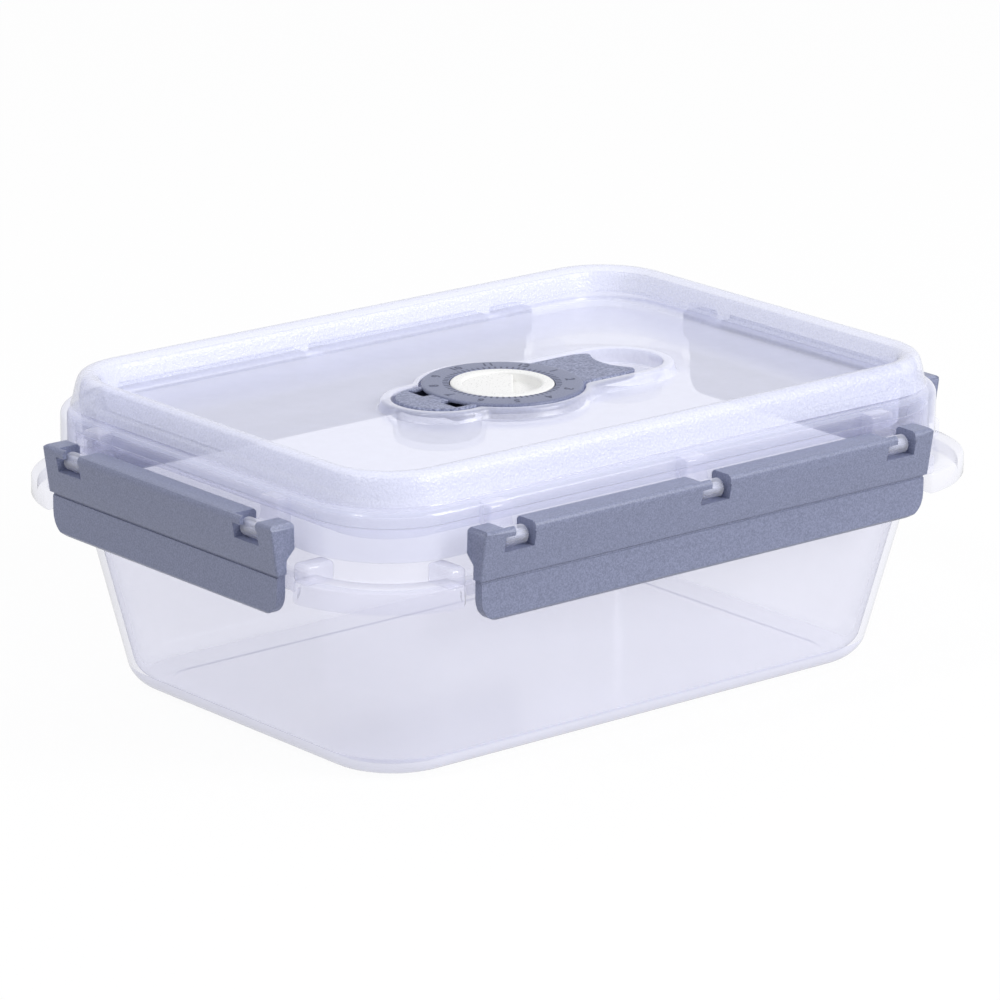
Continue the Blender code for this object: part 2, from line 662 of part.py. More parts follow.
def build_hooks(side, offsets):
    """Brackets on the lid along one side, each with a ring open below for a latch's pin."""
    inner = PIN_RADIUS + GAP
    outer = HOOK_RADIUS
    inner_edge = math.asin(HOOK_SLOT / 2 / inner)
    edge = math.asin(HOOK_SLOT / 2 / outer)
    arm = HOOK_ARM / 2
    meet = math.asin(arm / outer)
    down = -math.pi / 2
    bore = arc((0, 0), inner, down + inner_edge, down - inner_edge + 2 * math.pi, HOOK_STEPS)
    root = -PIN_OFFSET - BRACKET_ROOT
    top = PIN_DROP - BRACKET_DROP
    reach = BRACKET_REACH - PIN_OFFSET
    clear = -math.sqrt(SWING_RADIUS ** 2 - arm ** 2)
    outline = [
        (root, -HOOK_ARM), (root, top), (reach - BRACKET_ROUND, top), (reach, top - BRACKET_ROUND),
        (reach, SWING_RADIUS), (clear, arm + BRACKET_ROUND), (clear, arm),
    ]
    outline += arc((0, 0), outer, math.pi - meet, down + edge, HOOK_STEPS)
    outline += bore
    outline += arc((0, 0), outer, down - edge, meet - math.pi, 2)
    outline += [(clear, -arm)]
    hooks = []
    for offset in offsets:
        points = [Vector((offset - HOOK_WIDTH / 2, y, z)) for y, z in outline]
        hooks.append(prism("lid_hook", points, Vector((HOOK_WIDTH, 0, 0)), CUTTERS, side))
    return hooks


def latch_section():
    """Section of a latch about its hinge axis: (outwards, up), block on top and flap below."""
    lean = LATCH_FRONT - LATCH_LEAN
    flap_back = RIB_REACH + FLAP_CLEARANCE - PIN_OFFSET
    flap_front = flap_back + FLAP_THICKNESS
    catch_tip = RIB_REACH + GAP - PIN_OFFSET
    catch_top = FLANGE_HEIGHT - RIB_DEPTH - CATCH_RUN - PIN_Z
    catch_base = catch_top - CATCH_RUN - CATCH_LEAD
    base = catch_base - FLAP_TAIL
    section = [(-LATCH_BACK, LATCH_TOP - FLAP_EDGE), (FLAP_EDGE - LATCH_BACK, LATCH_TOP)]
    section += arc((LATCH_FRONT - LATCH_ROUND, LATCH_TOP - LATCH_ROUND), LATCH_ROUND, math.pi / 2, 0, 3)
    section += [
        (lean, -LATCH_CREASE),
        (lean - LATCH_GROOVE, -LATCH_CREASE - LATCH_GROOVE / 2),
        (flap_front, -LATCH_CREASE - LATCH_GROOVE),
        (flap_front, base + FLAP_EDGE),
        (flap_front - FLAP_EDGE, base),
        (flap_back + FLAP_EDGE, base),
        (flap_back, base + FLAP_EDGE),
        (flap_back, catch_base),
        (catch_tip, catch_top - CATCH_RUN),
        (catch_tip, catch_top),
        (flap_back, catch_top),
        (flap_back, -LATCH_BLOCK_DEPTH - FLAP_THICKNESS),
        (-LATCH_BACK, -LATCH_BLOCK_DEPTH),
    ]
    return section, base


def build_latch(name, side, length, offsets, material):
    """One latch: its section pushed along, trimmed to the front view, cored and hinged."""
    half = length / 2
    section, base = latch_section()
    points = [Vector((-half, y, z)) for y, z in section]
    latch = prism(name, points, Vector((length, 0, 0)), PARTS, side)
    latch.data.materials.append(material)

    flap = half - TOP_CORNER
    step = -LATCH_CREASE
    front = [(half, step), (half, LATCH_TOP - TOP_CORNER), (half - TOP_CORNER, LATCH_TOP)]
    front += [(TOP_CORNER - half, LATCH_TOP), (-half, LATCH_TOP - TOP_CORNER), (-half, step), (-flap, step)]
    front += arc((FLAP_CORNER - flap, base + FLAP_CORNER), FLAP_CORNER, math.pi, math.pi * 3 / 2, 6)
    front += arc((flap - FLAP_CORNER, base + FLAP_CORNER), FLAP_CORNER, -math.pi / 2, 0, 6)
    front += [(flap, step)]
    depth = LATCH_FRONT + LATCH_BACK + 2 * OVERRUN
    points = [Vector((x, -LATCH_BACK - OVERRUN, z)) for x, z in front]
    trim = prism(name + "_front", points, Vector((0, depth, 0)), CUTTERS, side)
    combine(latch, [trim], 'INTERSECT')

    notch = NOTCH_WIDTH / 2
    notches = []
    windows = []
    for offset in offsets:
        notches.append(((offset - notch, -LATCH_BACK - OVERRUN, -NOTCH_DROP),
                        (offset + notch, NOTCH_DROP, LATCH_TOP + OVERRUN)))
        windows.append(((offset - notch, 0, -NOTCH_DROP),
                        (offset + notch, LATCH_FRONT + OVERRUN, WINDOW_RISE)))

    cores = []
    for first, second in zip(offsets, offsets[1:]):
        low = first + notch + CORE_CHEEK
        high = second - notch - CORE_CHEEK
        cores.append(((low, -LATCH_BACK - OVERRUN, -CORE_DEPTH),
                      (high, LATCH_FRONT - CORE_WALL - LATCH_LEAN, LATCH_TOP - CORE_WALL)))
    cuts = [
        boxes(name + "_notches", notches, CUTTERS, side),
        boxes(name + "_windows", windows, CUTTERS, side),
        boxes(name + "_cores", cores, CUTTERS, side),
    ]
    combine(latch, cuts, 'DIFFERENCE')

    centres = [(offset, 0, 0) for offset in offsets]
    pins = rods(name + "_pins", centres, PIN_RADIUS, NOTCH_WIDTH + 2 * EMBED, 'X', CUTTERS, side)
    combine(latch, [pins], 'UNION')


def lever_disc(name, centre, radius, high):
    """A disc of the lever with a chamfered top edge."""
    profile = [
        (0, high), (radius - LEVER_EDGE, high), (radius, high - LEVER_EDGE),
        (radius, LEVER_BASE_Z), (0, LEVER_BASE_Z),
    ]
    return turned(name, profile, (*centre, 0), CUTTERS)


def build_lever(material):
    """The vent lever: round head, raised date ring, fishtail, two square wells, hinge pins."""
    place = Matrix.Translation((HINGE_X, 0, HINGE_Z))
    tail_top = LEVER_TOP_Z - TAIL_DROP
    notch_x = TAIL_END_X - TAIL_NOTCH
    half = TAIL_WIDTH / 2
    tip = half - TAIL_CORNER
    side_end = TAIL_END_X - 2 * TAIL_CORNER
    outline = [(0, half), (0, -half), (side_end, -half)]
    for step in range(TAIL_STEPS + 1):
        share = 2 * step / TAIL_STEPS - 1
        outline.append((notch_x + TAIL_NOTCH * share ** 2, tip * share))
    outline.append((side_end, half))
    points = [Vector((x, y, LEVER_BASE_Z)) for x, y in outline]
    lever = prism("vent_lever", points, Vector((0, 0, tail_top - LEVER_BASE_Z)), PARTS, Matrix.Identity(4))
    lever.data.transform(place.inverted())
    lever.matrix_world = place
    lever.data.materials.append(material)

    straight = Matrix.Identity(4)
    seat = DIAL_RADIUS + DIAL_CLEARANCE
    bore = DIAL_CUP_RADIUS + DIAL_CLEARANCE
    low = LEVER_BASE_Z - OVERRUN
    high = RING_TOP_Z + OVERRUN
    well_base = LEVER_BASE_Z - WELL_DEPTH
    outer = Vector((WELL_LENGTH / 2 + WELL_WALL, WELL_WIDTH / 2 + WELL_WALL, 0))
    inner = Vector((WELL_LENGTH / 2, WELL_WIDTH / 2, 0))
    wells = []
    holes = []
    for side in (1, -1):
        middle = Vector((WELL_X, side * WELL_SPACING / 2, 0))
        up = Vector((0, 0, 1))
        wells.append((middle - outer + up * well_base, middle + outer + up * (LEVER_BASE_Z + EMBED)))
        holes.append((middle - inner + up * (well_base + WELL_WALL), middle + inner + up * high))
    joined = [
        lever_disc("lever_ring", (0, 0), RING_RADIUS, RING_TOP_Z),
        lever_disc("lever_head", (HEAD_X, 0), HEAD_RADIUS, LEVER_TOP_Z),
        boxes("lever_wells", wells, CUTTERS, straight),
        rods("lever_pins", hinge_pin_places(), HINGE_PIN_RADIUS, 2 * HINGE_PIN_REACH, 'Y', CUTTERS, straight),
    ]
    combine(lever, joined, 'UNION')
    cuts = [
        boxes("lever_holes", holes, CUTTERS, straight),
        cone("lever_seat", (0, 0), seat, seat, DIAL_SEAT_Z, high, CUTTERS),
        cone("lever_bore", (0, 0), bore, bore, low, high, CUTTERS),
    ]
    combine(lever, cuts, 'DIFFERENCE')


def build_dial(material):
    """The date dial: a flanged cup with a grip bar across its recess and a snap edge below."""
    top = DIAL_TOP_Z
    recess = DIAL_RECESS_Z
    flange = top - DIAL_FLANGE
    snap = LEVER_BASE_Z - GAP
    profile = (
        (0, recess), (DIAL_RECESS_RADIUS, recess), (DIAL_RECESS_RADIUS, top - DIAL_EDGE),
        (DIAL_RECESS_RADIUS + DIAL_EDGE, top), (DIAL_RADIUS - DIAL_EDGE, top),
        (DIAL_RADIUS, top - DIAL_EDGE), (DIAL_RADIUS, flange), (DIAL_CUP_RADIUS, flange),
        (DIAL_CUP_RADIUS, snap), (DIAL_CUP_RADIUS + DIAL_SNAP, snap),
        (DIAL_CUP_RADIUS, DIAL_BASE_Z), (0, DIAL_BASE_Z),
    )
    centred = [(radius, z - top) for radius, z in profile]
    dial = turned("date_dial", centred, (0, 0, top), PARTS)
    dial.data.materials.append(material)
    half = GRIP_WIDTH / 2
    reach = DIAL_RECESS_RADIUS + DIAL_EDGE
    low = recess - EMBED
    turn = Matrix.Rotation(GRIP_ANGLE, 4, 'Z')
    grip = boxes("dial_grip", [((-reach, -half, low), (reach, half, top - GRIP_SINK))], CUTTERS, turn)
    combine(dial, [grip], 'UNION')


def build_vent_plug(material):
    """The soft plug under the lever that closes the vent hole."""
    top = LEVER_BASE_Z - GAP
    seat = POCKET_Z + GAP
    low = POCKET_Z - POCKET_FLOOR
    radius = VENT_RADIUS
    profile = (
        (0, top), (VENT_FLANGE, top), (VENT_FLANGE, seat), (radius, seat),
        (radius - VENT_TAPER, low), (0, low),
    )
    centred = [(reach, z - top) for reach, z in profile]
    plug = turned("vent_plug", centred, (PLUG_X, 0, top), PARTS)
    plug.data.materials.append(material)


def main():
    """Build the ten pieces of the box."""
    clear_scene()
    clear_plastic = plastic("clear_polypropylene", (0.80, 0.81, 0.90), 0.25, 0.45)
    silicone = plastic("silicone", (0.86, 0.87, 0.90), 0.5, 0.8)
    grey = plastic("blue_grey_plastic", (0.26, 0.28, 0.42), 0.45, 1.0)
    white = plastic("white_plastic", (0.90, 0.90, 0.90), 0.35, 1.0)

    build_tub(clear_plastic)
    build_gasket(silicone)
    build_lid(clear_plastic)
    places = hinge_places()
    names = ("latch_front", "latch_back", "latch_left", "latch_right")
    lengths = (LONG_LATCH_LENGTH, LONG_LATCH_LENGTH, SHORT_LATCH_LENGTH, SHORT_LATCH_LENGTH)
    for name, length, (side, offsets) in zip(names, lengths, places):
        build_latch(name, side, length, offsets, grey)
    build_lever(grey)
    build_dial(white)
    build_vent_plug(silicone)


main()
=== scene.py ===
"""The looks of a food storage box: clear box and clip-on lid, four latches, vent lever, date dial.

Shapes are rings of points round the lid's outline, or loops round the lever's outline, skinned
with numpy. Lengths are in metres, +Z is up and the long sides run along X. The points of sections
and profiles are written in millimetres.
"""

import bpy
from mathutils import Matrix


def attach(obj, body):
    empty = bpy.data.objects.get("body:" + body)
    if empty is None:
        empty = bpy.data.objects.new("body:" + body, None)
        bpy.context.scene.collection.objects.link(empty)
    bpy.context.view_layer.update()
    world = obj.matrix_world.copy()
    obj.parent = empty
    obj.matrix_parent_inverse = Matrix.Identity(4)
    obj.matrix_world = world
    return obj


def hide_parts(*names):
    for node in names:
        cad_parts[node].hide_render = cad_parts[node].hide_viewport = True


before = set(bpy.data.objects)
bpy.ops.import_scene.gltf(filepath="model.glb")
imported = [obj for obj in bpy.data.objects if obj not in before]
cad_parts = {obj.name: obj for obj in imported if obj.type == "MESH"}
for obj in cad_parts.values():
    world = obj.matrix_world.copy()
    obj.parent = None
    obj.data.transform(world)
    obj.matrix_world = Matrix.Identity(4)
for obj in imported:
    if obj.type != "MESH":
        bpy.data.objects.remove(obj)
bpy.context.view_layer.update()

import math

import bmesh
import bpy
import numpy as np
from mathutils import Matrix, Vector
from mathutils.geometry import delaunay_2d_cdt

MM = 0.001
WELD = 0.001 * MM
MIDDLE = (0, 0)

# Keeps a division from zero, and a reach past everything
TINY = 1e-6
FAR = 1.0

# Points on a corner of the lid's outline, on its straight run, on a loop round the lever, on a circle
CORNER_POINTS = 41
RUN_POINTS = 13
LOOP_POINTS = 512
ROUND_POINTS = 96

# The part of a corner's points that is spread evenly, where the rest crowds towards its ends
EVEN_SHARE = 0.6

# The lid's outline, which every ring follows
LID_LENGTH = 210.0 * MM
LID_WIDTH = 149.2 * MM
LID_CORNER = 26.0 * MM

# The tub's wall: it leans out with height, and its corners grow rounder
FLANGE_BASE_Z = 56.2 * MM
WALL_INSET = 3.6 * MM
WALL_LEAN = 0.2
CORNER_LOSS = 2.0 * MM
CORNER_TAPER = 3.0 * MM

# Where the lever's head, the recess past its tail and the vent hole lie along X
HEAD_X = -21.7 * MM
LOBE_X = 41.0 * MM
VENT_X = 18.3 * MM


# Rings and sections

def crowded(count):
    """Shares from 0 to 1 that crowd towards both ends, as the height of a half turn does."""
    return 0.5 - 0.5 * np.cos(np.pi * np.linspace(0.0, 1.0, count))


def rounded_ring(half_length, half_width, radius, z):
    """Four quarter circles about the corner centres, joined by straight runs, anticlockwise.

    The angles crowd towards both ends of each quarter, where the ears and runs meet it.
    """
    share = EVEN_SHARE * np.linspace(0.0, 1.0, CORNER_POINTS) + (1 - EVEN_SHARE) * crowded(CORNER_POINTS)
    angle = (np.arange(4)[:, None] + share) * np.pi / 2
    middle_x = np.array([1, -1, -1, 1]) * (half_length - radius)
    middle_y = np.array([1, 1, -1, -1]) * (half_width - radius)
    corners = np.stack([middle_x[:, None] + radius * np.cos(angle),
                        middle_y[:, None] + radius * np.sin(angle)], axis=-1)
    starts = corners[:, -1][:, None]
    ends = np.roll(corners, -1, axis=0)[:, 0][:, None]
    runs = starts + (ends - starts) * crowded(RUN_POINTS + 2)[1:-1, None]
    flat = np.concatenate([corners, runs], axis=1).reshape(-1, 2)
    return np.column_stack([flat, np.full(len(flat), z)])


def lid_ring(inset, z):
    """The lid's outline drawn in by an inset."""
    return rounded_ring(LID_LENGTH / 2 - inset, LID_WIDTH / 2 - inset, LID_CORNER - inset, z)


def lid_rings(section):
    """The lid's outline carried round a section of (inset, height)."""
    return [lid_ring(inset * MM, z * MM) for inset, z in section]


def body_ring(z, inward):
    """The tub's outer wall at a height, where its lean has brought it, drawn in."""
    fall = FLANGE_BASE_Z - z
    inset = WALL_INSET + WALL_LEAN * fall + inward
    radius = LID_CORNER - CORNER_LOSS - CORNER_TAPER * fall / FLANGE_BASE_Z - inward
    return rounded_ring(LID_LENGTH / 2 - inset, LID_WIDTH / 2 - inset, radius, z)


def arc(centre, radius, start, end, count):
    """Points on a circle in the section's plane, from one angle in degrees to another."""
    angle = np.radians(np.linspace(start, end, count))
    return np.column_stack([centre[0] + radius * np.cos(angle), centre[1] + radius * np.sin(angle)])


def spline(points, steps):
    """A smooth curve through points: each span is a cubic with the slopes of its neighbours' chords."""
    points = np.asarray(points, float)
    padded = np.vstack([2 * points[0] - points[1], points, 2 * points[-1] - points[-2]])
    share = np.linspace(0, 1, steps, endpoint=False)[:, None]
    before, start, end, after = (padded[i:len(padded) - 3 + i][:, None] for i in range(4))
    curve = start + share * (end - before) / 2
    curve = curve + share ** 2 * (2 * before - 5 * start + 4 * end - after) / 2
    curve = curve + share ** 3 * (3 * start - before - 3 * end + after) / 2
    return np.vstack([curve.reshape(-1, points.shape[1]), points[-1:]])


def circle_loops(x, profile, count=ROUND_POINTS):
    """A profile of (radius, height) carried round an upright axis at a place along X."""
    angle = np.linspace(0, 2 * np.pi, count, endpoint=False)
    return [np.column_stack([x + radius * MM * np.cos(angle), radius * MM * np.sin(angle),
                             np.full(count, z * MM)]) for radius, z in profile]


ANGLE = np.linspace(0, 2 * np.pi, LOOP_POINTS, endpoint=False)


def circle_reach(centre, radius):
    """How far a ray from the origin runs to leave a circle centred on X: its quadratic's far root."""
    under = radius ** 2 - (centre * np.sin(ANGLE)) ** 2
    far = centre * np.cos(ANGLE) + np.sqrt(np.maximum(under, 0))
    return np.where(under > 0, np.maximum(far, 0), 0)


def capsule_reach(end, half):
    """The same for a band along X from the origin to a round end: the band's edge, then the circle."""
    edge = half / np.maximum(np.abs(np.sin(ANGLE)), TINY)
    inside = (edge * np.cos(ANGLE) < end) & (np.cos(ANGLE) > 0)
    return np.where(inside, edge, circle_reach(end, half) * (np.cos(ANGLE) > 0))


def blended(first, second, width):
    """The larger of two reaches, with a fillet where they are within a width of each other."""
    share = np.maximum(width - np.abs(first - second), 0) / width
    return np.maximum(first, second) + share ** 2 * width / 4


def drawn_in(loop, distance):
    """A loop moved inwards along its own level normals."""
    along = np.roll(loop, -1, axis=0) - np.roll(loop, 1, axis=0)
    normal = np.column_stack([along[:, 1], -along[:, 0], np.zeros(len(loop))])
    normal /= np.linalg.norm(normal, axis=1)[:, None]
    return loop - normal * distance


def at_height(loop, z):
    """The same loop at another height."""
    return np.column_stack([loop[:, :2], np.full(len(loop), z)])


def polar_loops(reach, section):
    """An outline, given by its reach at each angle, carried round a section of (inward, height)."""
    outline = np.column_stack([reach * np.cos(ANGLE), reach * np.sin(ANGLE), np.zeros(LOOP_POINTS)])
    return [at_height(drawn_in(outline, inward * MM), z * MM) for inward, z in section]


# Welding a piece together

def inside_loop(points, loop):
    """Which points lie in a level loop: those whose ray along X crosses it an odd number of times."""
    start, end = loop, np.roll(loop, -1, axis=0)
    x, y = points[:, :1], points[:, 1:2]
    spans = (start[:, 1] > y) != (end[:, 1] > y)
    rise = end[:, 1] - start[:, 1]
    rise = np.where(rise == 0, np.inf, rise)
    cross = start[:, 0] + (y - start[:, 1]) * (end[:, 0] - start[:, 0]) / rise
    return (spans & (x < cross)).sum(axis=1) % 2 == 1


class Shell:
    """Strips, flats and turned parts, welded into one mesh with outward faces."""

    def __init__(self):
        self.points = []
        self.faces = []
        self.finishes = []
        self.count = 0

    def add(self, points, groups, finish=0):
        """Points, with groups of faces that count them from zero, and the number of their material."""
        for faces in groups:
            self.faces += (np.asarray(faces) + self.count).tolist()
            self.finishes += [finish] * len(faces)
        self.points.append(np.asarray(points, float))
        self.count += len(points)

    def strip(self, rings, finish=0, closed=False, ends=False):
        """Quads between each ring and the next; ends closes the first and last with one face."""
        grid = np.asarray(rings, float)
        rows, columns = grid.shape[:2]
        index = np.arange(rows * columns).reshape(rows, columns)
        if closed:
            index = np.vstack([index, index[:1]])
        low, high = index[:-1], index[1:]
        quads = np.stack([low, np.roll(low, -1, 1), np.roll(high, -1, 1), high], axis=-1)
        groups = [quads.reshape(-1, 4)]
        if ends:
            groups.append(index[[0, -1]])
        self.add(grid.reshape(-1, 3), groups, finish)

    def flat(self, outline, holes=(), finish=0):
        """A level face inside a loop and outside its holes, as constrained Delaunay triangles."""
        loops = [outline, *holes]
        edges = []
        first = 0
        for loop in loops:
            number = first + np.arange(len(loop))
            edges += np.column_stack([number, np.roll(number, -1)]).tolist()
            first += len(loop)
        corners = [Vector((x, y)) for x, y in np.vstack(loops)[:, :2] / MM]
        made = delaunay_2d_cdt(corners, edges, [], 0, TINY)
        where = np.array([tuple(point) for point in made[0]]) * MM
        triangles = np.array(made[2])
        middle = where[triangles].mean(axis=1)
        keep = inside_loop(middle, outline[:, :2])
        for hole in holes:
            keep &= ~inside_loop(middle, hole[:, :2])
        points = np.column_stack([where, np.full(len(where), outline[0, 2])])
        self.add(points, [triangles[keep]], finish)

    def block(self, low, high, radius, steps=6, matrix=None):
        """A box with round edges: a ball's grid, each eighth of it moved out to its own corner."""
        low, high = np.asarray(low, float), np.asarray(high, float)
        quarter = np.linspace(0, np.pi / 2, steps)
        turn = np.concatenate([quarter + side * np.pi / 2 for side in range(4)])
        signs = np.repeat([[1, 1], [-1, 1], [-1, -1], [1, -1]], steps, axis=0)
        rise = np.concatenate([quarter - np.pi / 2, quarter])
        upper = np.repeat([-1, 1], steps)
        half = (high - low) / 2 - radius
        x = radius * np.outer(np.cos(rise), np.cos(turn)) + signs[:, 0] * half[0]
        y = radius * np.outer(np.cos(rise), np.sin(turn)) + signs[:, 1] * half[1]
        z = (radius * np.sin(rise) + upper * half[2])[:, None] + np.zeros_like(x)
        grid = np.stack([x, y, z], axis=-1) + (low + high) / 2
        if matrix is not None:
            turned = np.array(matrix)
            grid = grid @ turned[:3, :3].T + turned[:3, 3]
        self.strip(grid, ends=True)

    def mesh(self, name):
        """The parts as one mesh, not yet welded."""
        data = bpy.data.meshes.new(name)
        data.from_pydata(np.vstack(self.points).tolist(), [], self.faces)
        data.polygons.foreach_set("material_index", self.finishes)
        return data

    def piece(self, name, body, materials, nodes=(), sharp=35.0):
        """The welded mesh as an object at the origin that rides on a body."""
        return finished(name, self.mesh(name), body, materials, nodes, sharp)


def placed(name, data):
    """An object in the scene."""
    item = bpy.data.objects.new(name, data)
    bpy.context.scene.collection.objects.link(item)
    return item


def outward(data):
    """The mesh welded, with its faces outward."""
    mesh = bmesh.new()
    mesh.from_mesh(data)
    bmesh.ops.remove_doubles(mesh, verts=mesh.verts, dist=WELD)
    bmesh.ops.dissolve_degenerate(mesh, edges=mesh.edges, dist=WELD)
    bmesh.ops.recalc_face_normals(mesh, faces=mesh.faces)
    mesh.to_mesh(data)
    mesh.free()
    return data


def finished(name, data, body, materials, nodes=(), sharp=35.0):
    """Weld it, smooth what isn't a real edge, and let it ride on a body."""
    outward(data)
    for material in materials:
        data.materials.append(material)
    data.shade_smooth()
    data.set_sharp_from_angle(angle=math.radians(sharp))
    item = placed(name, data)
    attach(item, body)
    if nodes:
        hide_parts(*nodes)
    return item


# Materials

# The plastics' index of refraction, and what they reflect square on by Schlick's rule
PLASTIC_IOR = 1.49
SQUARE_ON = 0.039
SCHLICK_POWER = 5.0

# How the haze of a clear wall grows towards edge-on, and how matt the haze itself is
HAZE_POWER = 3.0
HAZE_ROUGHNESS = 0.55

# The noise's own settings, how deep its bumps are, and where it turns from dark to light
NOISE = [("Detail", 2.0), ("Roughness", 0.6)]
CLEAR_RELIEF = 0.2 * MM
OPAQUE_RELIEF = 0.1 * MM
COLOUR_TURN = (0.35, 0.65)
SHINE_TURN = (0.3, 0.7)
SHINE_SPREAD = 0.04


def linear(code):
    """An sRGB hex colour as linear RGBA."""
    share = np.array([int(code[i:i + 2], 16) for i in (1, 3, 5)]) / 255
    value = np.where(share <= 0.04045, share / 12.92, ((share + 0.055) / 1.055) ** 2.4)
    return (*value.tolist(), 1.0)


def node(tree, kind, links=(), values=(), **settings):
    """One node: links are (its input, the socket that feeds it), values are (its input, number)."""
    made = tree.nodes.new("ShaderNode" + kind)
    for key, value in settings.items():
        setattr(made, key, value)
    for socket, value in values:
        made.inputs[socket].default_value = value
    for socket, source in links:
        tree.links.new(source, made.inputs[socket])
    return made


def math_node(tree, operation, links, values=(), **settings):
    """The result of a Math node."""
    return node(tree, "Math", links, values, operation=operation, **settings).outputs[0]


def mixed(tree, share, first, second):
    """Two shaders mixed: the share is the second one's."""
    return node(tree, "MixShader", [("Fac", share), (1, first), (2, second)]).outputs["Shader"]


def blank(name):
    """A material with nothing but its output."""
    material = bpy.data.materials.new(name)
    material.use_nodes = True
    tree = material.node_tree
    tree.nodes.clear()
    return material, tree, node(tree, "OutputMaterial").inputs["Surface"]


def grain_bump(tree, size, strength, depth):
    """Fine moulded grain of a real size: noise in object space, and the normal that it bends."""
    place = node(tree, "TexCoord")
    noise = node(tree, "TexNoise", [("Vector", place.outputs["Object"])], [("Scale", 1.0 / size), *NOISE])
    bump = node(tree, "Bump", [("Height", noise.outputs["Fac"])],
                [("Strength", strength), ("Distance", depth)])
    return noise.outputs["Fac"], bump.outputs["Normal"]


def clear_plastic(name, tint, milk, clear, cloud, grain, strength, roughness):
    """A translucent wall: see-through with a milky share, more of it edge-on, under a gloss.

    Tint colours the see-through share and milk the rest. Clear is the see-through share square on
    and edge-on, where less than none only lets it run out sooner. The grain makes that share
    uneven by the cloud and stands out by the strength.

    Haze and gloss act where sight enters a wall, and where it leaves the wall is plainly clear.
    """
    material, tree, surface = blank(name)
    noise, normal = grain_bump(tree, grain, strength, CLEAR_RELIEF)
    uneven = math_node(tree, 'MULTIPLY_ADD', [(0, noise)], [(1, cloud), (2, -cloud / 2)])
    weight = node(tree, "LayerWeight", [("Normal", normal)], [("Blend", 0.5)])
    facing = weight.outputs["Facing"]
    haze = math_node(tree, 'POWER', [(0, facing)], [(1, HAZE_POWER)])
    share = node(tree, "MapRange", [("Value", haze)],
                 [("From Min", 0.0), ("From Max", 1.0), ("To Min", clear[0]), ("To Max", clear[1])])
    share = math_node(tree, 'ADD', [(0, share.outputs["Result"]), (1, uneven)], use_clamp=True)
    milky = node(tree, "BsdfPrincipled", [("Normal", normal)],
                 [("Base Color", linear(milk)), ("Roughness", HAZE_ROUGHNESS), ("IOR", PLASTIC_IOR)])
    through = node(tree, "BsdfTransparent", values=[("Color", linear(tint))])
    body = mixed(tree, share, milky.outputs["BSDF"], through.outputs["BSDF"])
    edge = math_node(tree, 'POWER', [(0, facing)], [(1, SCHLICK_POWER)])
    edge = math_node(tree, 'MULTIPLY_ADD', [(0, edge)], [(1, 1 - SQUARE_ON), (2, SQUARE_ON)])
    gloss = node(tree, "BsdfGlossy", [("Normal", normal)], [("Roughness", roughness)])
    entered = mixed(tree, edge, body, gloss.outputs["BSDF"])
    side = node(tree, "NewGeometry")
    left = node(tree, "BsdfTransparent", values=[("Color", (1, 1, 1, 1))])
    tree.links.new(mixed(tree, side.outputs["Backfacing"], entered, left.outputs["BSDF"]), surface)
    return material


def moulded(name, low, high, grain, strength, roughness):
    """Opaque moulded plastic: its grain shifts the colour from low to high, and the shine a little."""
    material, tree, surface = blank(name)
    noise, normal = grain_bump(tree, grain, strength, OPAQUE_RELIEF)
    colour = node(tree, "ValToRGB", [("Fac", noise)])
    for element, position, code in zip(colour.color_ramp.elements, COLOUR_TURN, (low, high)):
        element.position = position
        element.color = linear(code)
    shine = node(tree, "MapRange", [("Value", noise)],
                 [("From Min", SHINE_TURN[0]), ("From Max", SHINE_TURN[1]),
                  ("To Min", roughness - SHINE_SPREAD), ("To Max", roughness + SHINE_SPREAD)])
    shader = node(tree, "BsdfPrincipled",
                  [("Base Color", colour.outputs["Color"]), ("Roughness", shine.outputs["Result"]),
                   ("Normal", normal)], [("IOR", PLASTIC_IOR)])
    tree.links.new(shader.outputs["BSDF"], surface)
    return material


# Polypropylene, injection moulded in a polished tool: nearly clear, with a faint cool haze that
# thickens edge-on, a smooth gloss, and an unevenness some millimetres wide
CLEAR = clear_plastic("polypropylene_clear_smooth", tint="#f9f9ff", milk="#f2f3ff", clear=(0.84, 0.32),
                      cloud=0.04, grain=6.0 * MM, strength=0.01, roughness=0.14)

# The same in the lid's floor and skirt: clearer square on, and milky already at a slant
LID = clear_plastic("polypropylene_clear_lid", tint="#f8f9ff", milk="#eaecff", clear=(0.88, -0.36),
                    cloud=0.06, grain=5.0 * MM, strength=0.01, roughness=0.14)

# The same in the thick stacks round the lid's pocket and cups: milkier, with a duller gloss. Its
# unevenness is too fine to show, so it is drawn 1.2 mm wide
THICK = clear_plastic("polypropylene_clear_thick", tint="#f8f9ff", milk="#eceeff", clear=(0.62, 0.05),
                      cloud=0.08, grain=1.2 * MM, strength=0.02, roughness=0.25)

# The same in the tub's foot and heel, its thickest wall: milkier and slightly darker
BASE = clear_plastic("polypropylene_clear_base", tint="#f2f2fc", milk="#e8eaff", clear=(0.55, 0.1),
                     cloud=0.04, grain=6.0 * MM, strength=0.01, roughness=0.2)

# The same moulded in an etched tool, on the lid's hump: frosted, with a sparkling grain. The real
# grain of about 0.3 mm wouldn't show, so it is drawn 0.75 mm wide
FROSTED = clear_plastic("polypropylene_clear_grained", tint="#f8f9ff", milk="#e0e3f8", clear=(0.38, 0.05),
                        cloud=0.4, grain=0.75 * MM, strength=1.0, roughness=0.22)

# Silicone rubber, moulded and cured: whitish and translucent with a dull shine. Its surface is too
# fine to show, so it is drawn 0.8 mm wide and almost level
SILICONE = clear_plastic("silicone_translucent", tint="#fafafe", milk="#eef1ff", clear=(0.8, 0.3),
                         cloud=0.05, grain=0.8 * MM, strength=0.05, roughness=0.4)

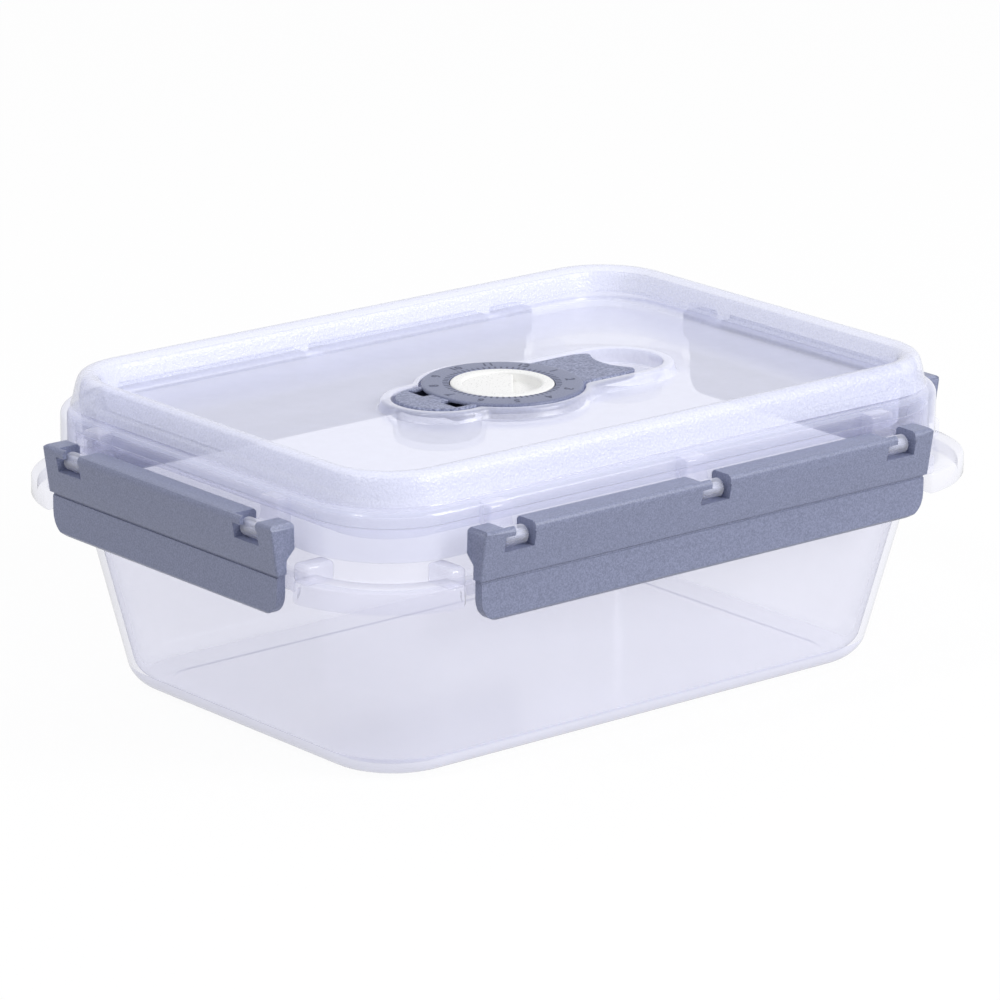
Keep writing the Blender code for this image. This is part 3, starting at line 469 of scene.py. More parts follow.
# Polypropylene dyed blue-grey, injection moulded in a spark-eroded tool: opaque and satin, with a
# fine matt grain. The real grain of about 0.2 mm is under a pixel, so it is drawn 0.42 mm wide
LATCH = moulded("polypropylene_blue_grey", "#70768f", "#888eaa", 0.42 * MM, 0.6, 0.38)

# The same with the coarser, speckled grain of the lever
LEVER = moulded("polypropylene_blue_grey_coarse", "#5e6480", "#969cb8", 0.7 * MM, 1.0, 0.45)

# The same on the date ring: smoother and slightly darker
RING = moulded("polypropylene_blue_grey_ring", "#666c86", "#7c829e", 0.42 * MM, 0.4, 0.4)

# The same, dark as painted shade: the painted shade down in the ring's engraved marks and, darker,
# the painted shade in the lever's deep wells, where little light comes back out
MARKS = moulded("polypropylene_marks_painted_shade", "#3a4059", "#4a506a", 0.42 * MM, 0.1, 0.5)
WELL_SHADE = moulded("polypropylene_wells_painted_shade", "#23273c", "#2e3349", 0.42 * MM, 0.1, 0.5)

# ABS dyed white, injection moulded in a polished tool: even, bright and softly shiny. Its surface is
# too fine to show, so it is drawn 0.6 mm wide and almost level
WHITE = moulded("abs_white", "#ececea", "#ededeb", 0.6 * MM, 0.005, 0.3)


# Tub

# Heights of the foot's recess and of the floor, how far in the foot ends, the wall, the heel's outer
# and inner radius, and how far in the flats begin
FOOT_Z = 0.8 * MM
TUB_FLOOR_Z = 2.8 * MM
FOOT_INWARD = 10.8 * MM
TUB_WALL = 1.9 * MM
HEEL = 6.0 * MM
INNER_HEEL = 4.1 * MM
FLAT_STEP = 1.0 * MM

# The foot's edge, (height, inward), and the heights of the wall's rings
FOOT_EDGE = [(0.3, 10.3), (0, 10.0), (0, 8.0)]
WALL_HEIGHTS = (8, 14, 22, 30, 38, 46, 52)
INNER_TOP = 55.6

# Where the flange's ears begin, past the latches' ends, and how soon they are at full width
EAR_START_X = 79.2 * MM
EAR_START_Y = 50.1 * MM
EAR_RAMP = 1.6 * MM

# Stop blocks on the ears, beside the latches' ends: their reach along X and Y, and their heights
STOPS = [((EAR_START_X, 84.7 * MM), (71.0 * MM, 80.6 * MM)),
         ((101.4 * MM, 111.0 * MM), (EAR_START_Y, 55.6 * MM))]
STOP_BASE_Z = 57.2 * MM
STOP_TOP_Z = 62.8 * MM
STOP_ROUND = 1.3 * MM

# The flange, out and back: its inset beside the latches and round the ears, then its height there;
# and the rim up and over, (inset, height)
FLANGE = [(3.4, 3.4, 55.6, 55.6), (1.0, 1.0, 56.1, 56.3), (-2.0, -5.0, 56.2, 56.6), (-3.2, -6.2, 56.0, 56.4),
          (-3.4, -6.4, 55.7, 55.8), (-3.4, -6.4, 54.7, 53.0), (-3.6, -6.6, 54.4, 52.7),
          (-4.7, -7.6, 54.4, 52.6), (-5.0, -8.0, 54.8, 53.2), (-5.0, -8.0, 57.5, 57.6),
          (-4.85, -7.8, 57.85, 58.1), (-4.5, -7.3, 58.0, 58.4), (-2.0, -3.0, 58.0, 58.4),
          (-0.6, -0.6, 58.0, 58.3), (1.4, 1.4, 58.0, 58.1), (2.0, 2.0, 58.4, 58.6)]
RIM = [(2.1, 59.5), (2.1, 66.0), (2.1, 71.0), (2.25, 71.5), (2.6, 71.7), (3.6, 71.7), (3.95, 71.5),
       (4.1, 71.0), (4.1, 66.0), (4.1, 61.4), (4.2, 60.6), (4.5, 59.6), (4.9, 58.6), (5.3, 57.4)]


def ear_share(ring):
    """1 at the corners of the flange and 0 beside the latches, with a short smooth change between."""
    reach = np.minimum(np.abs(ring[:, 0]) - EAR_START_X, np.abs(ring[:, 1]) - EAR_START_Y)
    share = np.clip(reach / EAR_RAMP, 0, 1)
    return share * share * (3 - 2 * share)


def flange_ring(rib, ear, rib_z, ear_z):
    """A ring of the flange: one inset and height along the latches, another round the corners."""
    share = ear_share(lid_ring(0, 0))[:, None]
    return lid_ring(rib * MM, rib_z * MM) * (1 - share) + lid_ring(ear * MM, ear_z * MM) * share


def heel_rings(turns, radius, z, inward):
    """Rings up or down a quarter round that joins the base to the wall."""
    return [body_ring(z + radius * (1 - math.cos(turn)), inward + radius * (1 - math.sin(turn)))
            for turn in np.radians(turns)]


def make_tub():
    """Outer wall from the foot up to the rolled rim, and back down inside to the floor."""
    shell = Shell()
    foot = at_height(body_ring(0, FOOT_INWARD), FOOT_Z)
    base = [drawn_in(foot, FLAT_STEP), foot]
    base += [body_ring(z * MM, inward * MM) for z, inward in FOOT_EDGE]
    base += heel_rings(np.linspace(0, 90, 11), HEEL, 0, 0)
    wall = [base[-1]]
    wall += [body_ring(z * MM, 0) for z in WALL_HEIGHTS]
    wall += [flange_ring(*row) for row in FLANGE]
    wall += lid_rings(RIM)
    wall += [body_ring(z * MM, TUB_WALL) for z in (INNER_TOP, *reversed(WALL_HEIGHTS))]
    wall += heel_rings(np.linspace(90, 0, 9), INNER_HEEL, TUB_FLOOR_Z, TUB_WALL)
    wall.append(drawn_in(wall[-1], FLAT_STEP))
    shell.strip(base, finish=1)
    shell.strip(wall)
    shell.flat(base[0], finish=1)
    shell.flat(wall[-1])
    for side_x in (1, -1):
        for side_y in (1, -1):
            for reach_x, reach_y in STOPS:
                xs = sorted(side_x * reach for reach in reach_x)
                ys = sorted(side_y * reach for reach in reach_y)
                shell.block((xs[0], ys[0], STOP_BASE_Z), (xs[1], ys[1], STOP_TOP_Z), STOP_ROUND)
    shell.piece("tub_shell", "tub", [CLEAR, BASE], ["tub"])


# Gasket: its section, (inset, height)
GASKET = [(2.1, 72.3), (2.1, 74.7), (2.4, 75.0), (5.5, 75.0), (5.7, 75.2), (5.7, 77.4), (6.2, 77.95),
          (8.7, 77.95), (9.2, 77.4), (9.2, 75.2), (9.4, 75.0), (9.6, 74.7), (9.6, 72.3), (9.3, 72.0),
          (2.4, 72.0)]


def make_gasket():
    """A soft ring over the rim, with a rounded tongue that fills the lid's hollow hump."""
    shell = Shell()
    shell.strip(lid_rings(GASKET), closed=True)
    shell.piece("gasket_ring", "lid", [SILICONE], ["gasket"])


# Lid

# Its skin from the floor outwards, (inset, height): the floor's edge, the hump, the ledge and skirt,
# and back underneath with the plug wall
FLOOR_EDGE = [(13.9, 76.5), (13.2, 76.5), (12.7, 76.62), (12.35, 76.95), (12.15, 77.5), (11.98, 78.2),
              (11.8, 79.0)]
HUMP = [(11.8, 79.0), (11.35, 81.2), (10.75, 83.6), (10.0, 84.85), (8.7, 85.5), (7.0, 85.7),
        (5.6, 85.35), (4.72, 84.4), (4.2, 83.1), (3.6, 80.65), (3.05, 78.3), (2.85, 77.5)]
LEDGE = [(2.85, 77.5), (2.7, 77.15), (2.4, 77.0)]
LEDGE_ROUND = 2.4
SKIRT = [(0.0, 73.6), (0.0, 69.0), (0.0, 64.3), (0.12, 63.85), (0.45, 63.7), (1.4, 63.7),
         (1.7, 63.8), (1.8, 64.1), (1.8, 69.0), (1.8, 74.6), (2.0, 75.1), (2.5, 75.3)]
UNDERSIDE = [(2.5, 75.3), (4.6, 75.3), (5.0, 75.7), (5.4, 82.2), (5.9, 83.2), (6.8, 83.6), (8.1, 83.6),
             (9.0, 83.2), (9.5, 82.2), (9.9, 75.0), (9.9, 67.5), (10.1, 67.1), (10.5, 67.0), (11.1, 67.05),
             (11.4, 67.3), (11.5, 67.7), (11.5, 73.4), (11.8, 74.3), (12.7, 74.8), (14.0, 74.8)]
HUMP_STEPS = 4

# Outlines round the lever, in plan: radii at the ring, the head and the tail, then the fillets where
# the head and the tail meet the ring
BOSS_PLAN = (24.2 * MM, 15.8 * MM, 15.65 * MM, 3.0 * MM, 4.0 * MM)
POCKET_PLAN = (22.5 * MM, 13.15 * MM, 12.65 * MM, 1.0 * MM, 2.0 * MM)
PAN_PLAN = (23.7 * MM, 14.0 * MM, 13.9 * MM, 2.0 * MM, 3.0 * MM)

# The boss's wall, the pocket's wall inside it and the pan below, (inward, height)
BOSS_WALL = [(-1.6, 76.5), (-1.1, 76.5), (-0.8, 76.62), (-0.62, 76.9), (-0.3, 78.0), (-0.12, 78.6),
             (0.05, 78.95), (0.35, 79.2), (0.75, 79.3), (1.2, 79.3)]
POCKET_WALL = [(-0.45, 79.3), (-0.2, 79.22), (-0.03, 79.05), (0.0, 78.8), (0.0, 77.0), (0.0, 75.3),
               (0.1, 75.06), (0.4, 75.0)]
PAN_WALL = [(-1.2, 74.8), (-0.5, 74.8), (-0.15, 74.7), (0.0, 74.4), (0.1, 73.6), (0.3, 73.36), (0.6, 73.3)]

# Cup below the head and recess for a finger past the tail, from above and below, and the vent hole,
# (radius, height)
CUP_TOP = [(12.0, 75.0), (11.75, 74.9), (11.65, 74.6), (11.0, 70.3), (10.7, 69.6), (10.0, 69.3), (9.0, 69.3)]
FINGER_TOP = [(11.9, 75.0), (11.6, 74.9), (11.5, 74.6), (11.1, 72.5), (10.8, 71.95), (10.2, 71.7),
              (9.0, 71.7)]
CUP_UNDER = [(13.2, 73.3), (12.95, 73.2), (12.85, 72.9), (12.3, 68.9), (12.0, 68.1), (11.2, 67.7),
             (10.0, 67.7)]
FINGER_UNDER = [(13.0, 73.3), (12.75, 73.2), (12.65, 72.9), (12.4, 71.0), (12.1, 70.3), (11.4, 70.0),
                (10.0, 70.0)]
VENT_HOLE = [(2.9, 75.0), (2.9, 74.2), (2.9, 73.3)]


def plan_reach(ring, head, tail, head_fillet, tail_fillet):
    """An outline round the lever: a circle, a smaller one at the head and a band to the tail's end."""
    reach = blended(circle_reach(0, ring), circle_reach(HEAD_X, head), head_fillet)
    return blended(reach, capsule_reach(LOBE_X, tail), tail_fillet)


def sunk_cups(shell, face, cup, finger, vent_edge):
    """A level face with the cup and the finger recess sunk in it, and the vent hole through it."""
    cups = [circle_loops(HEAD_X, cup), circle_loops(LOBE_X, finger)]
    shell.flat(face, [cups[0][0], cups[1][0], vent_edge])
    for loops in cups:
        shell.strip(loops, finish=2)
        shell.flat(loops[-1], finish=2)


def make_lid():
    """One closed skin: floor, boss and pocket, hump, ledge, skirt, the underside and its plug wall."""
    shell = Shell()
    floor_edge = lid_rings(FLOOR_EDGE)
    ledge_middle = (LEDGE[-1][0], LEDGE[-1][1] - LEDGE_ROUND)
    ledge = np.vstack([LEDGE, arc(ledge_middle, LEDGE_ROUND, 90, 180, 9)[1:], SKIRT])
    underside = lid_rings(UNDERSIDE)
    shell.strip(floor_edge, finish=2)
    shell.strip(lid_rings(spline(HUMP, HUMP_STEPS)), finish=1)
    shell.strip(lid_rings(ledge))
    shell.strip(underside)

    walls = polar_loops(plan_reach(*BOSS_PLAN), BOSS_WALL)
    shell.flat(floor_edge[0], [walls[0]])
    walls += polar_loops(plan_reach(*POCKET_PLAN), POCKET_WALL)
    shell.strip(walls, finish=2)
    hole = circle_loops(VENT_X, VENT_HOLE)
    sunk_cups(shell, walls[-1], CUP_TOP, FINGER_TOP, hole[0])
    shell.strip(hole)

    pan = polar_loops(plan_reach(*PAN_PLAN), PAN_WALL)
    shell.flat(underside[-1], [pan[0]])
    shell.strip(pan)
    sunk_cups(shell, pan[-1], CUP_UNDER, FINGER_UNDER, hole[-1])
    shell.piece("lid_shell", "lid", [LID, FROSTED, THICK], ["lid"])


# Latch brackets on the lid

# The hinge axis: how far out from the lid's side, and its height
PIN_OFFSET = 7.8 * MM
PIN_Z = 68.9 * MM

# Each latch: the turn from +Y to its side, how far out the lid's side is, half its own length, and
# its brackets' places along it in millimetres
LONG_PINS = (-66.3, 0.0, 66.3)
SHORT_PINS = (-37.8, 37.8)
SIDES = {
    "latch_front": (math.pi, LID_WIDTH / 2, 78.0 * MM, LONG_PINS),
    "latch_back": (0.0, LID_WIDTH / 2, 78.0 * MM, LONG_PINS),
    "latch_left": (math.pi / 2, LID_LENGTH / 2, 48.9 * MM, SHORT_PINS),
    "latch_right": (-math.pi / 2, LID_LENGTH / 2, 48.9 * MM, SHORT_PINS),
}

# A bracket's ends: place along it, and how far the section is drawn in there; then the radii of its
# open ring, and how far in from the hinge axis its whitish faces begin
END_STEPS = [(-3.75, 0.4), (-3.7, 0.2), (-3.55, 0.05), (-3.35, 0.0),
             (3.35, 0.0), (3.55, 0.05), (3.7, 0.2), (3.75, 0.4)]
PIN_RING = 2.45
PIN_BORE = 1.5
RING_FACES = 2.6 * MM


def bracket_section():
    """Outwards and up from the hinge axis: the bracket's back, its round shoulder, and an open ring."""
    return np.vstack([[(-8.3, -1.8), (-8.3, 7.7)], arc((-4.9, 6.6), 1.1, 90, 0, 7),
                      [(-3.8, 5.6), (-4.2, 3.4), (-3.6, 1.6)],
                      arc(MIDDLE, PIN_RING, 155, 0, 14), arc(MIDDLE, PIN_RING, 0, -66, 8),
                      arc(MIDDLE, PIN_BORE, 312, -132, 26), arc(MIDDLE, PIN_RING, 246, 205, 6),
                      [(-4.4, -1.4), (-6.2, -1.9)]]) * MM


def make_brackets():
    """Each bracket is its section pushed along the side, drawn in by a quarter circle at its ends.

    Its faces round the pin look whitish, as the photograph shows them in the latches' windows.
    """
    shell = Shell()
    section = bracket_section()[::-1]
    flat = np.column_stack([section, np.zeros(len(section))])
    for turn, distance, _, places in SIDES.values():
        side = np.array(Matrix.Rotation(turn, 3, 'Z'))
        for place in places:
            rings = []
            for along, inward in END_STEPS:
                loop = drawn_in(flat, inward * MM)
                ring = np.column_stack([np.full(len(loop), (place + along) * MM),
                                        loop[:, 0] + distance + PIN_OFFSET, loop[:, 1] + PIN_Z])
                rings.append(ring @ side.T)
            shell.strip(rings, ends=True)
    item = shell.piece("latch_brackets", "lid", [CLEAR, SILICONE], sharp=30.0)
    middles = np.empty(3 * len(item.data.polygons))
    item.data.polygons.foreach_get("center", middles)
    reach = np.abs(middles.reshape(-1, 3)[:, :2]) - [LID_LENGTH / 2, LID_WIDTH / 2]
    at_pin = reach.max(axis=1) > PIN_OFFSET - RING_FACES
    item.data.polygons.foreach_set("material_index", at_pin.astype(int))


# Latches

# The flap is drawn longer by this, all of it below the lower height and none above the upper one
FLAP_DROP = 0.9 * MM
STRETCH_Z = (49.6 * MM, 54.8 * MM)
FLAP_BASE_Z = 48.8 * MM - FLAP_DROP
FLAP_CORNER = 6.0 * MM
FLAP_INSET = 1.0 * MM
FLAP_BACK = -1.9 * MM

# Cutters reach past the faces that they cut by one of these
OVERRUN = 1.0 * MM
LONG_OVERRUN = 2.0 * MM
CUT_REACH = 6.0 * MM
CUT_STEPS = 4

# Windows over the pins, from the hinge axis: half their width, their shift along, back and base
WINDOW_HALF = 3.2 * MM
WINDOW_SHIFT = -1.4 * MM
WINDOW_BACK = 0.6 * MM
WINDOW_BASE = 0.2 * MM
WINDOW_ROUND = 0.3 * MM

# The crease under the step, and what is trimmed off the catch at the latch's ends
CREASE_BACK = 1.02 * MM
CREASE_Z = (58.35 * MM, 59.15 * MM)
CREASE_ROUND = 0.25 * MM
CATCH_TRIM = 9.0 * MM
CATCH_OUT = (-8.0 * MM, -1.32 * MM)
CATCH_Z = (46.0 * MM, 57.6 * MM)

# Roundings of the ends, then of all other edges: name, width, segments and what limits them. Then
# what counts as an end's edge and a sliver, and which turns between two faces are flat or an edge
ROUNDINGS = [("round_ends", 1.7 * MM, 5, 'WEIGHT'), ("round_edges", 0.35 * MM, 3, 'ANGLE')]
END_DEPTH = 0.3 * MM
END_BASE_Z = 59.5 * MM
SHORT_EDGE = 0.35 * MM
FINE_WELD = 0.01 * MM
FLAT_TURN = math.radians(2)
EDGE_TURN = math.radians(35)


def trimmed(data, cutter):
    """A mesh less a closed cutter."""
    item = placed("trimmed", data)
    tool = placed("cutter", cutter)
    cut = item.modifiers.new("cut", 'BOOLEAN')
    cut.operation = 'DIFFERENCE'
    cut.solver = 'EXACT'
    cut.use_self = True
    cut.object = tool
    bpy.context.view_layer.update()
    result = bpy.data.meshes.new_from_object(item.evaluated_get(bpy.context.evaluated_depsgraph_get()))
    bpy.data.objects.remove(item)
    bpy.data.objects.remove(tool)
    return result


def lengthened(data):
    """The mesh with its lowest part moved down, and the stretch above it drawn out evenly."""
    points = np.empty(3 * len(data.vertices))
    data.vertices.foreach_get("co", points)
    points = points.reshape(-1, 3)
    share = (STRETCH_Z[1] - points[:, 2]) / (STRETCH_Z[1] - STRETCH_Z[0])
    points[:, 2] -= FLAP_DROP * np.clip(share, 0, 1)
    data.vertices.foreach_set("co", points.ravel())
    return data


def latch_cutter(matrix, out, half, places):
    """What comes off a latch: windows, crease, the catch's ends and the flap's square corners."""
    shell = Shell()
    for place in places:
        middle = place * MM + WINDOW_SHIFT
        shell.block((middle - WINDOW_HALF, out + WINDOW_BACK, PIN_Z + WINDOW_BASE),
                    (middle + WINDOW_HALF, out + CUT_REACH, PIN_Z + CUT_REACH),
                    WINDOW_ROUND, CUT_STEPS, matrix)
    shell.block((-half - LONG_OVERRUN, out + CREASE_BACK, CREASE_Z[0]),
                (half + LONG_OVERRUN, out + CUT_REACH, CREASE_Z[1]), CREASE_ROUND, CUT_STEPS, matrix)
    end = half - FLAP_INSET - FLAP_CORNER
    past = half + OVERRUN
    bend = arc((end, FLAP_BASE_Z + FLAP_CORNER), FLAP_CORNER, -90, 0, 17)
    corner = np.vstack([bend, [(past, FLAP_BASE_Z + FLAP_CORNER), (past, FLAP_BASE_Z - OVERRUN),
                               (end, FLAP_BASE_Z - OVERRUN)]])
    for side in (-1, 1):
        ends = sorted((side * (half - CATCH_TRIM), side * (half + LONG_OVERRUN)))
        shell.block((ends[0], out + CATCH_OUT[0], CATCH_Z[0]), (ends[1], out + CATCH_OUT[1], CATCH_Z[1]),
                    WINDOW_ROUND, CUT_STEPS, matrix)
        rings = [np.column_stack([side * corner[:, 0], np.full(len(corner), out + depth), corner[:, 1]])
                 for depth in (FLAP_BACK, CUT_REACH)]
        shell.strip([ring @ np.array(matrix)[:3, :3].T for ring in rings], ends=True)
    return outward(shell.mesh("cutter"))


def marked_ends(data, along, half):
    """The mesh cleaned of slivers, with the upper edges of its two end faces marked for rounding."""
    def at_end(edge):
        reach = min(abs(corner.co.dot(along)) for corner in edge.verts)
        return reach > half - END_DEPTH and max(corner.co.z for corner in edge.verts) > END_BASE_Z

    mesh = bmesh.new()
    mesh.from_mesh(data)
    bmesh.ops.remove_doubles(mesh, verts=mesh.verts, dist=FINE_WELD)
    bmesh.ops.dissolve_limit(mesh, angle_limit=FLAT_TURN, verts=mesh.verts, edges=mesh.edges)
    short = [edge for edge in mesh.edges if at_end(edge) and edge.calc_length() < SHORT_EDGE]
    bmesh.ops.collapse(mesh, edges=short)
    weights = mesh.edges.layers.float.new("bevel_weight_edge")
    for edge in mesh.edges:
        if at_end(edge):
            edge[weights] = 1.0
    mesh.to_mesh(data)
    mesh.free()


def make_latch(name, turn, distance, half, places):
    """The latch's own solid, with its flap drawn a little longer, trimmed by the cutter, and rounded:
    widely along the upper edges of its two end faces, and narrowly elsewhere.
    """
    matrix = Matrix.Rotation(turn, 4, 'Z')
    data = lengthened(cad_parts[name].data.copy())
    data = trimmed(data, latch_cutter(matrix, distance + PIN_OFFSET, half, places))
    data.materials.clear()
    marked_ends(data, matrix @ Vector((1, 0, 0)), half)
    data.polygons.foreach_set("material_index", [0] * len(data.polygons))
    item = finished(name + "_body", data, name, [LATCH], [name], sharp=40.0)
    for label, width, segments, limit in ROUNDINGS:
        bevel = item.modifiers.new(label, 'BEVEL')
        bevel.width = width
        bevel.segments = segments
        bevel.limit_method = limit
        bevel.angle_limit = EDGE_TURN


# Vent lever and dial

# The lever's two round parts
HEAD_RADIUS = 12.0 * MM
RING_RADIUS = 22.0 * MM

# The tail: half its width, the notch in its end and that notch's depth and half width, and the
# slanted line that trims its tips, by its normal and its distance
TAIL_HALF = 11.8 * MM
NOTCH_X = 36.0 * MM
NOTCH_DEPTH = 3.7 * MM
NOTCH_HALF = 9.6 * MM
SLANT = (0.447, 0.894)
SLANT_REACH = 26.3 * MM

# Fillets of the outline: at the tips, along the tail's sides, at the head and at the tail's root
TIP_FILLET = 3.0 * MM
SIDE_FILLET = 3.4 * MM
HEAD_FILLET = 0.5 * MM
ROOT_FILLET = 1.5 * MM

# The lever's edge, (inward, height), then the dial's seat and the raised ring, (radius, height)
LEVER_EDGE = [(0.9, 77.0), (0.25, 77.0), (0.07, 77.07), (0.0, 77.25), (0.0, 78.9), (0.08, 79.15),
              (0.3, 79.35), (0.6, 79.4), (1.2, 79.4)]
SEAT = [(14.4, 79.4), (14.4, 78.1), (11.2, 78.1), (11.2, 77.0)]
RING_SECTION = [(14.4, 79.1), (14.4, 79.6), (14.55, 79.77), (14.8, 79.8), (21.1, 79.8), (21.5, 79.75),
                (21.8, 79.55), (21.95, 79.2), (21.95, 78.9), (21.5, 78.9)]
RING_POINTS = 160

# The two square wells in the head: place, half sizes and corners of the hole and of the box that
# hangs round it, then how much each loop is wider than the hole, with its height
WELL_X = -21.3 * MM
WELL_Y = 6.9 * MM
WELL_HALF = (3.2, 3.3)
WELL_CORNER = 0.7 * MM
BOX_CORNER = 0.9 * MM
WELL_LIP = [(0.25, 79.4), (0.08, 79.32), (0.0, 79.1), (0.0, 78.6)]
WELL_DEPTH = [(0.0, 78.6), (0.0, 75.9), (-0.3, 75.7)]
WELL_BOX = [(0.35, 77.0), (0.35, 75.6), (0.05, 75.4)]
SQUARE_STEPS = 6


def lever_reach():
    """The lever's outline: head, ring, and a tail that ends in a shallow notch between two tips.

    The notch is a parabola across the tail, and a ray meets it where its quadratic has its root.
    """
    cos, sin = np.cos(ANGLE), np.abs(np.sin(ANGLE))
    bend = NOTCH_DEPTH / NOTCH_HALF ** 2
    under = cos ** 2 - 4 * bend * sin ** 2 * NOTCH_X
    root = np.maximum(cos + np.sqrt(np.maximum(under, 0)), TINY)
    end = np.where((under > 0) & (cos > 0), 2 * NOTCH_X / root, FAR)
    side = TAIL_HALF / np.maximum(sin, TINY)
    slope = SLANT_REACH / np.maximum(SLANT[0] * cos + SLANT[1] * sin, TINY)
    slope = np.where(cos > 0, slope, 0)
    tail = -blended(-end, -slope, TIP_FILLET)
    tail = -blended(-tail, -side, SIDE_FILLET)
    tail = np.where(cos > 0, tail, 0)
    whole = blended(circle_reach(0, RING_RADIUS), circle_reach(HEAD_X, HEAD_RADIUS), HEAD_FILLET)
    return blended(whole, tail, ROOT_FILLET)


def square_loops(y, radius, section):
    """Level rounded rectangles about a well: each is wider than the well's hole by what it grows."""
    quarter = np.linspace(0, np.pi / 2, SQUARE_STEPS)
    angle = (np.arange(4)[:, None] * np.pi / 2 + quarter).ravel()
    sign_x = np.repeat([1, -1, -1, 1], SQUARE_STEPS)
    sign_y = np.repeat([1, 1, -1, -1], SQUARE_STEPS)
    loops = []
    for grow, z in section:
        half_x, half_y = ((half + grow) * MM for half in WELL_HALF)
        loops.append(np.column_stack([WELL_X + sign_x * (half_x - radius) + radius * np.cos(angle),
                                      y + sign_y * (half_y - radius) + radius * np.sin(angle),
                                      np.full(len(angle), z * MM)]))
    return loops


def make_lever():
    """Flat body with rounded edges, two square wells painted dark inside as shade, and the raised ring that
    carries the scale.
    """
    shell = Shell()
    rings = polar_loops(lever_reach(), LEVER_EDGE)
    shell.strip(rings)
    seat = circle_loops(0, SEAT)
    top_holes = [seat[0]]
    base_holes = [seat[-1]]
    for y in (WELL_Y, -WELL_Y):
        lip = square_loops(y, WELL_CORNER, WELL_LIP)
        depth = square_loops(y, WELL_CORNER, WELL_DEPTH)
        box = square_loops(y, BOX_CORNER, WELL_BOX)
        shell.strip(lip)
        # The wells' walls and floor take the dark painted shade of their depth
        shell.strip(depth, finish=1)
        shell.flat(depth[-1], finish=1)
        shell.strip(box)
        shell.flat(box[-1])
        top_holes.append(lip[0])
        base_holes.append(box[0])
    shell.strip(seat)
    shell.flat(rings[-1], top_holes)
    shell.flat(rings[0], base_holes)
    # The second material is the wells' painted shade
    shell.piece("vent_lever_body", "lever", [LEVER, WELL_SHADE], ["vent_lever"])

    shell = Shell()
    shell.strip(circle_loops(0, RING_SECTION, RING_POINTS), closed=True)
    shell.piece("date_ring", "lever", [RING])


# The scale on the ring: half each mark's length, width and relief, and its rounding; then the numbers,
# which run clockwise from this turn in degrees
MARKS_ROUND = 60
MARK_RADIUS = 15.35 * MM
MARK_HALF = np.array([0.75, 0.3, 0.03]) * MM
MARK_EDGE = 0.028 * MM
NUMBERS = 12
NUMBER_RADIUS = 18.6 * MM
NUMBER_SIZE = 3.7 * MM
NUMBER_BOLD = 0.09 * MM
NUMBER_START = 32
SCALE_Z = 79.81 * MM


def on_ring(turn, radius):
    """The place on the ring's top at a turn, facing outwards."""
    return Matrix.Rotation(turn, 4, 'Z') @ Matrix.Translation((radius, 0, SCALE_Z))


def make_scale():
    """Sixty short marks round the dial and the numbers 1 to 12: sunk marks, drawn as thin relief in the
    painted shade of their hollows.
    """
    shell = Shell()
    step = 360 / MARKS_ROUND
    for turn in np.radians(np.arange(MARKS_ROUND) * step + step / 2):
        shell.block(-MARK_HALF, MARK_HALF, MARK_EDGE, 2, on_ring(turn, MARK_RADIUS))
    # Their colour is the painted shade of the sunk marks
    shell.piece("scale_marks", "lever", [MARKS])
    for number in range(1, NUMBERS + 1):
        letters = bpy.data.curves.new("scale_number", 'FONT')
        letters.body = str(number)
        letters.size = NUMBER_SIZE
        letters.extrude = MARK_HALF[2]
        letters.offset = NUMBER_BOLD
        letters.resolution_u = 3
        letters.align_x = 'CENTER'
        letters.align_y = 'CENTER'
        text = bpy.data.objects.new("scale_number", letters)
        data = bpy.data.meshes.new_from_object(text)
        bpy.data.objects.remove(text)
        place = on_ring(math.radians(NUMBER_START - 360 / NUMBERS * number), NUMBER_RADIUS)
        data.transform(place @ Matrix.Rotation(-math.pi / 2, 4, 'Z'))
        # The numbers take the same painted shade as the marks
        finished(f"scale_number_{number}", data, "lever", [MARKS])


# The dial's profile, (radius, height), and the raised half of its recess: the direction in degrees
# and the distance of the line that parts it, its radius, its fillet and its edge, (inward, height)
DIAL = [(0, 77.4), (10.0, 77.4), (10.4, 77.5), (10.6, 77.8), (10.7, 79.3), (10.8, 79.65), (11.05, 79.85),
        (11.5, 79.9), (13.5, 79.9), (13.85, 79.83), (14.05, 79.65), (14.1, 79.4), (14.1, 78.5),
        (14.0, 78.4), (10.9, 78.4), (10.9, 76.7), (11.6, 76.7), (10.9, 76.1), (0, 76.1)]
DIAL_POINTS = 128
STEP_TURN = -40
STEP_LINE = 3.0 * MM
STEP_RADIUS = 10.75 * MM
STEP_FILLET = 0.8 * MM
STEP_EDGE = [(0.0, 77.0), (0.0, 79.0), (0.08, 79.22), (0.3, 79.35), (0.7, 79.38)]

# The plug's profile, (radius, height)
PLUG = [(0, 76.7), (3.0, 76.7), (3.4, 76.4), (3.4, 75.6), (3.1, 75.3), (2.4, 75.3), (2.3, 74.4),
        (1.8, 73.5), (1.4, 73.3), (0, 73.3)]
PLUG_POINTS = 48


def make_dial():
    """White cup with a broad rim; a straight edge parts a shallow recess from a deep one.

    The raised part is the recess's circle cut off by a line: the nearer of the two reaches.
    """
    shell = Shell()
    shell.strip(circle_loops(0, DIAL, DIAL_POINTS))
    towards = np.cos(ANGLE - math.radians(STEP_TURN))
    line = np.minimum(STEP_LINE / np.maximum(towards, TINY), FAR)
    reach = -blended(-line, np.full(LOOP_POINTS, -STEP_RADIUS), STEP_FILLET)
    rings = polar_loops(reach, STEP_EDGE)
    shell.strip(rings)
    shell.flat(rings[0])
    shell.flat(rings[-1])
    shell.piece("date_dial_cup", "dial", [WHITE], ["date_dial"])


def make_vent_plug():
    """The soft plug under the lever."""
    shell = Shell()
    shell.strip(circle_loops(VENT_X, PLUG, PLUG_POINTS))
    shell.piece("vent_plug_body", "lever", [SILICONE], ["vent_plug"])


# Stage, lamps and camera

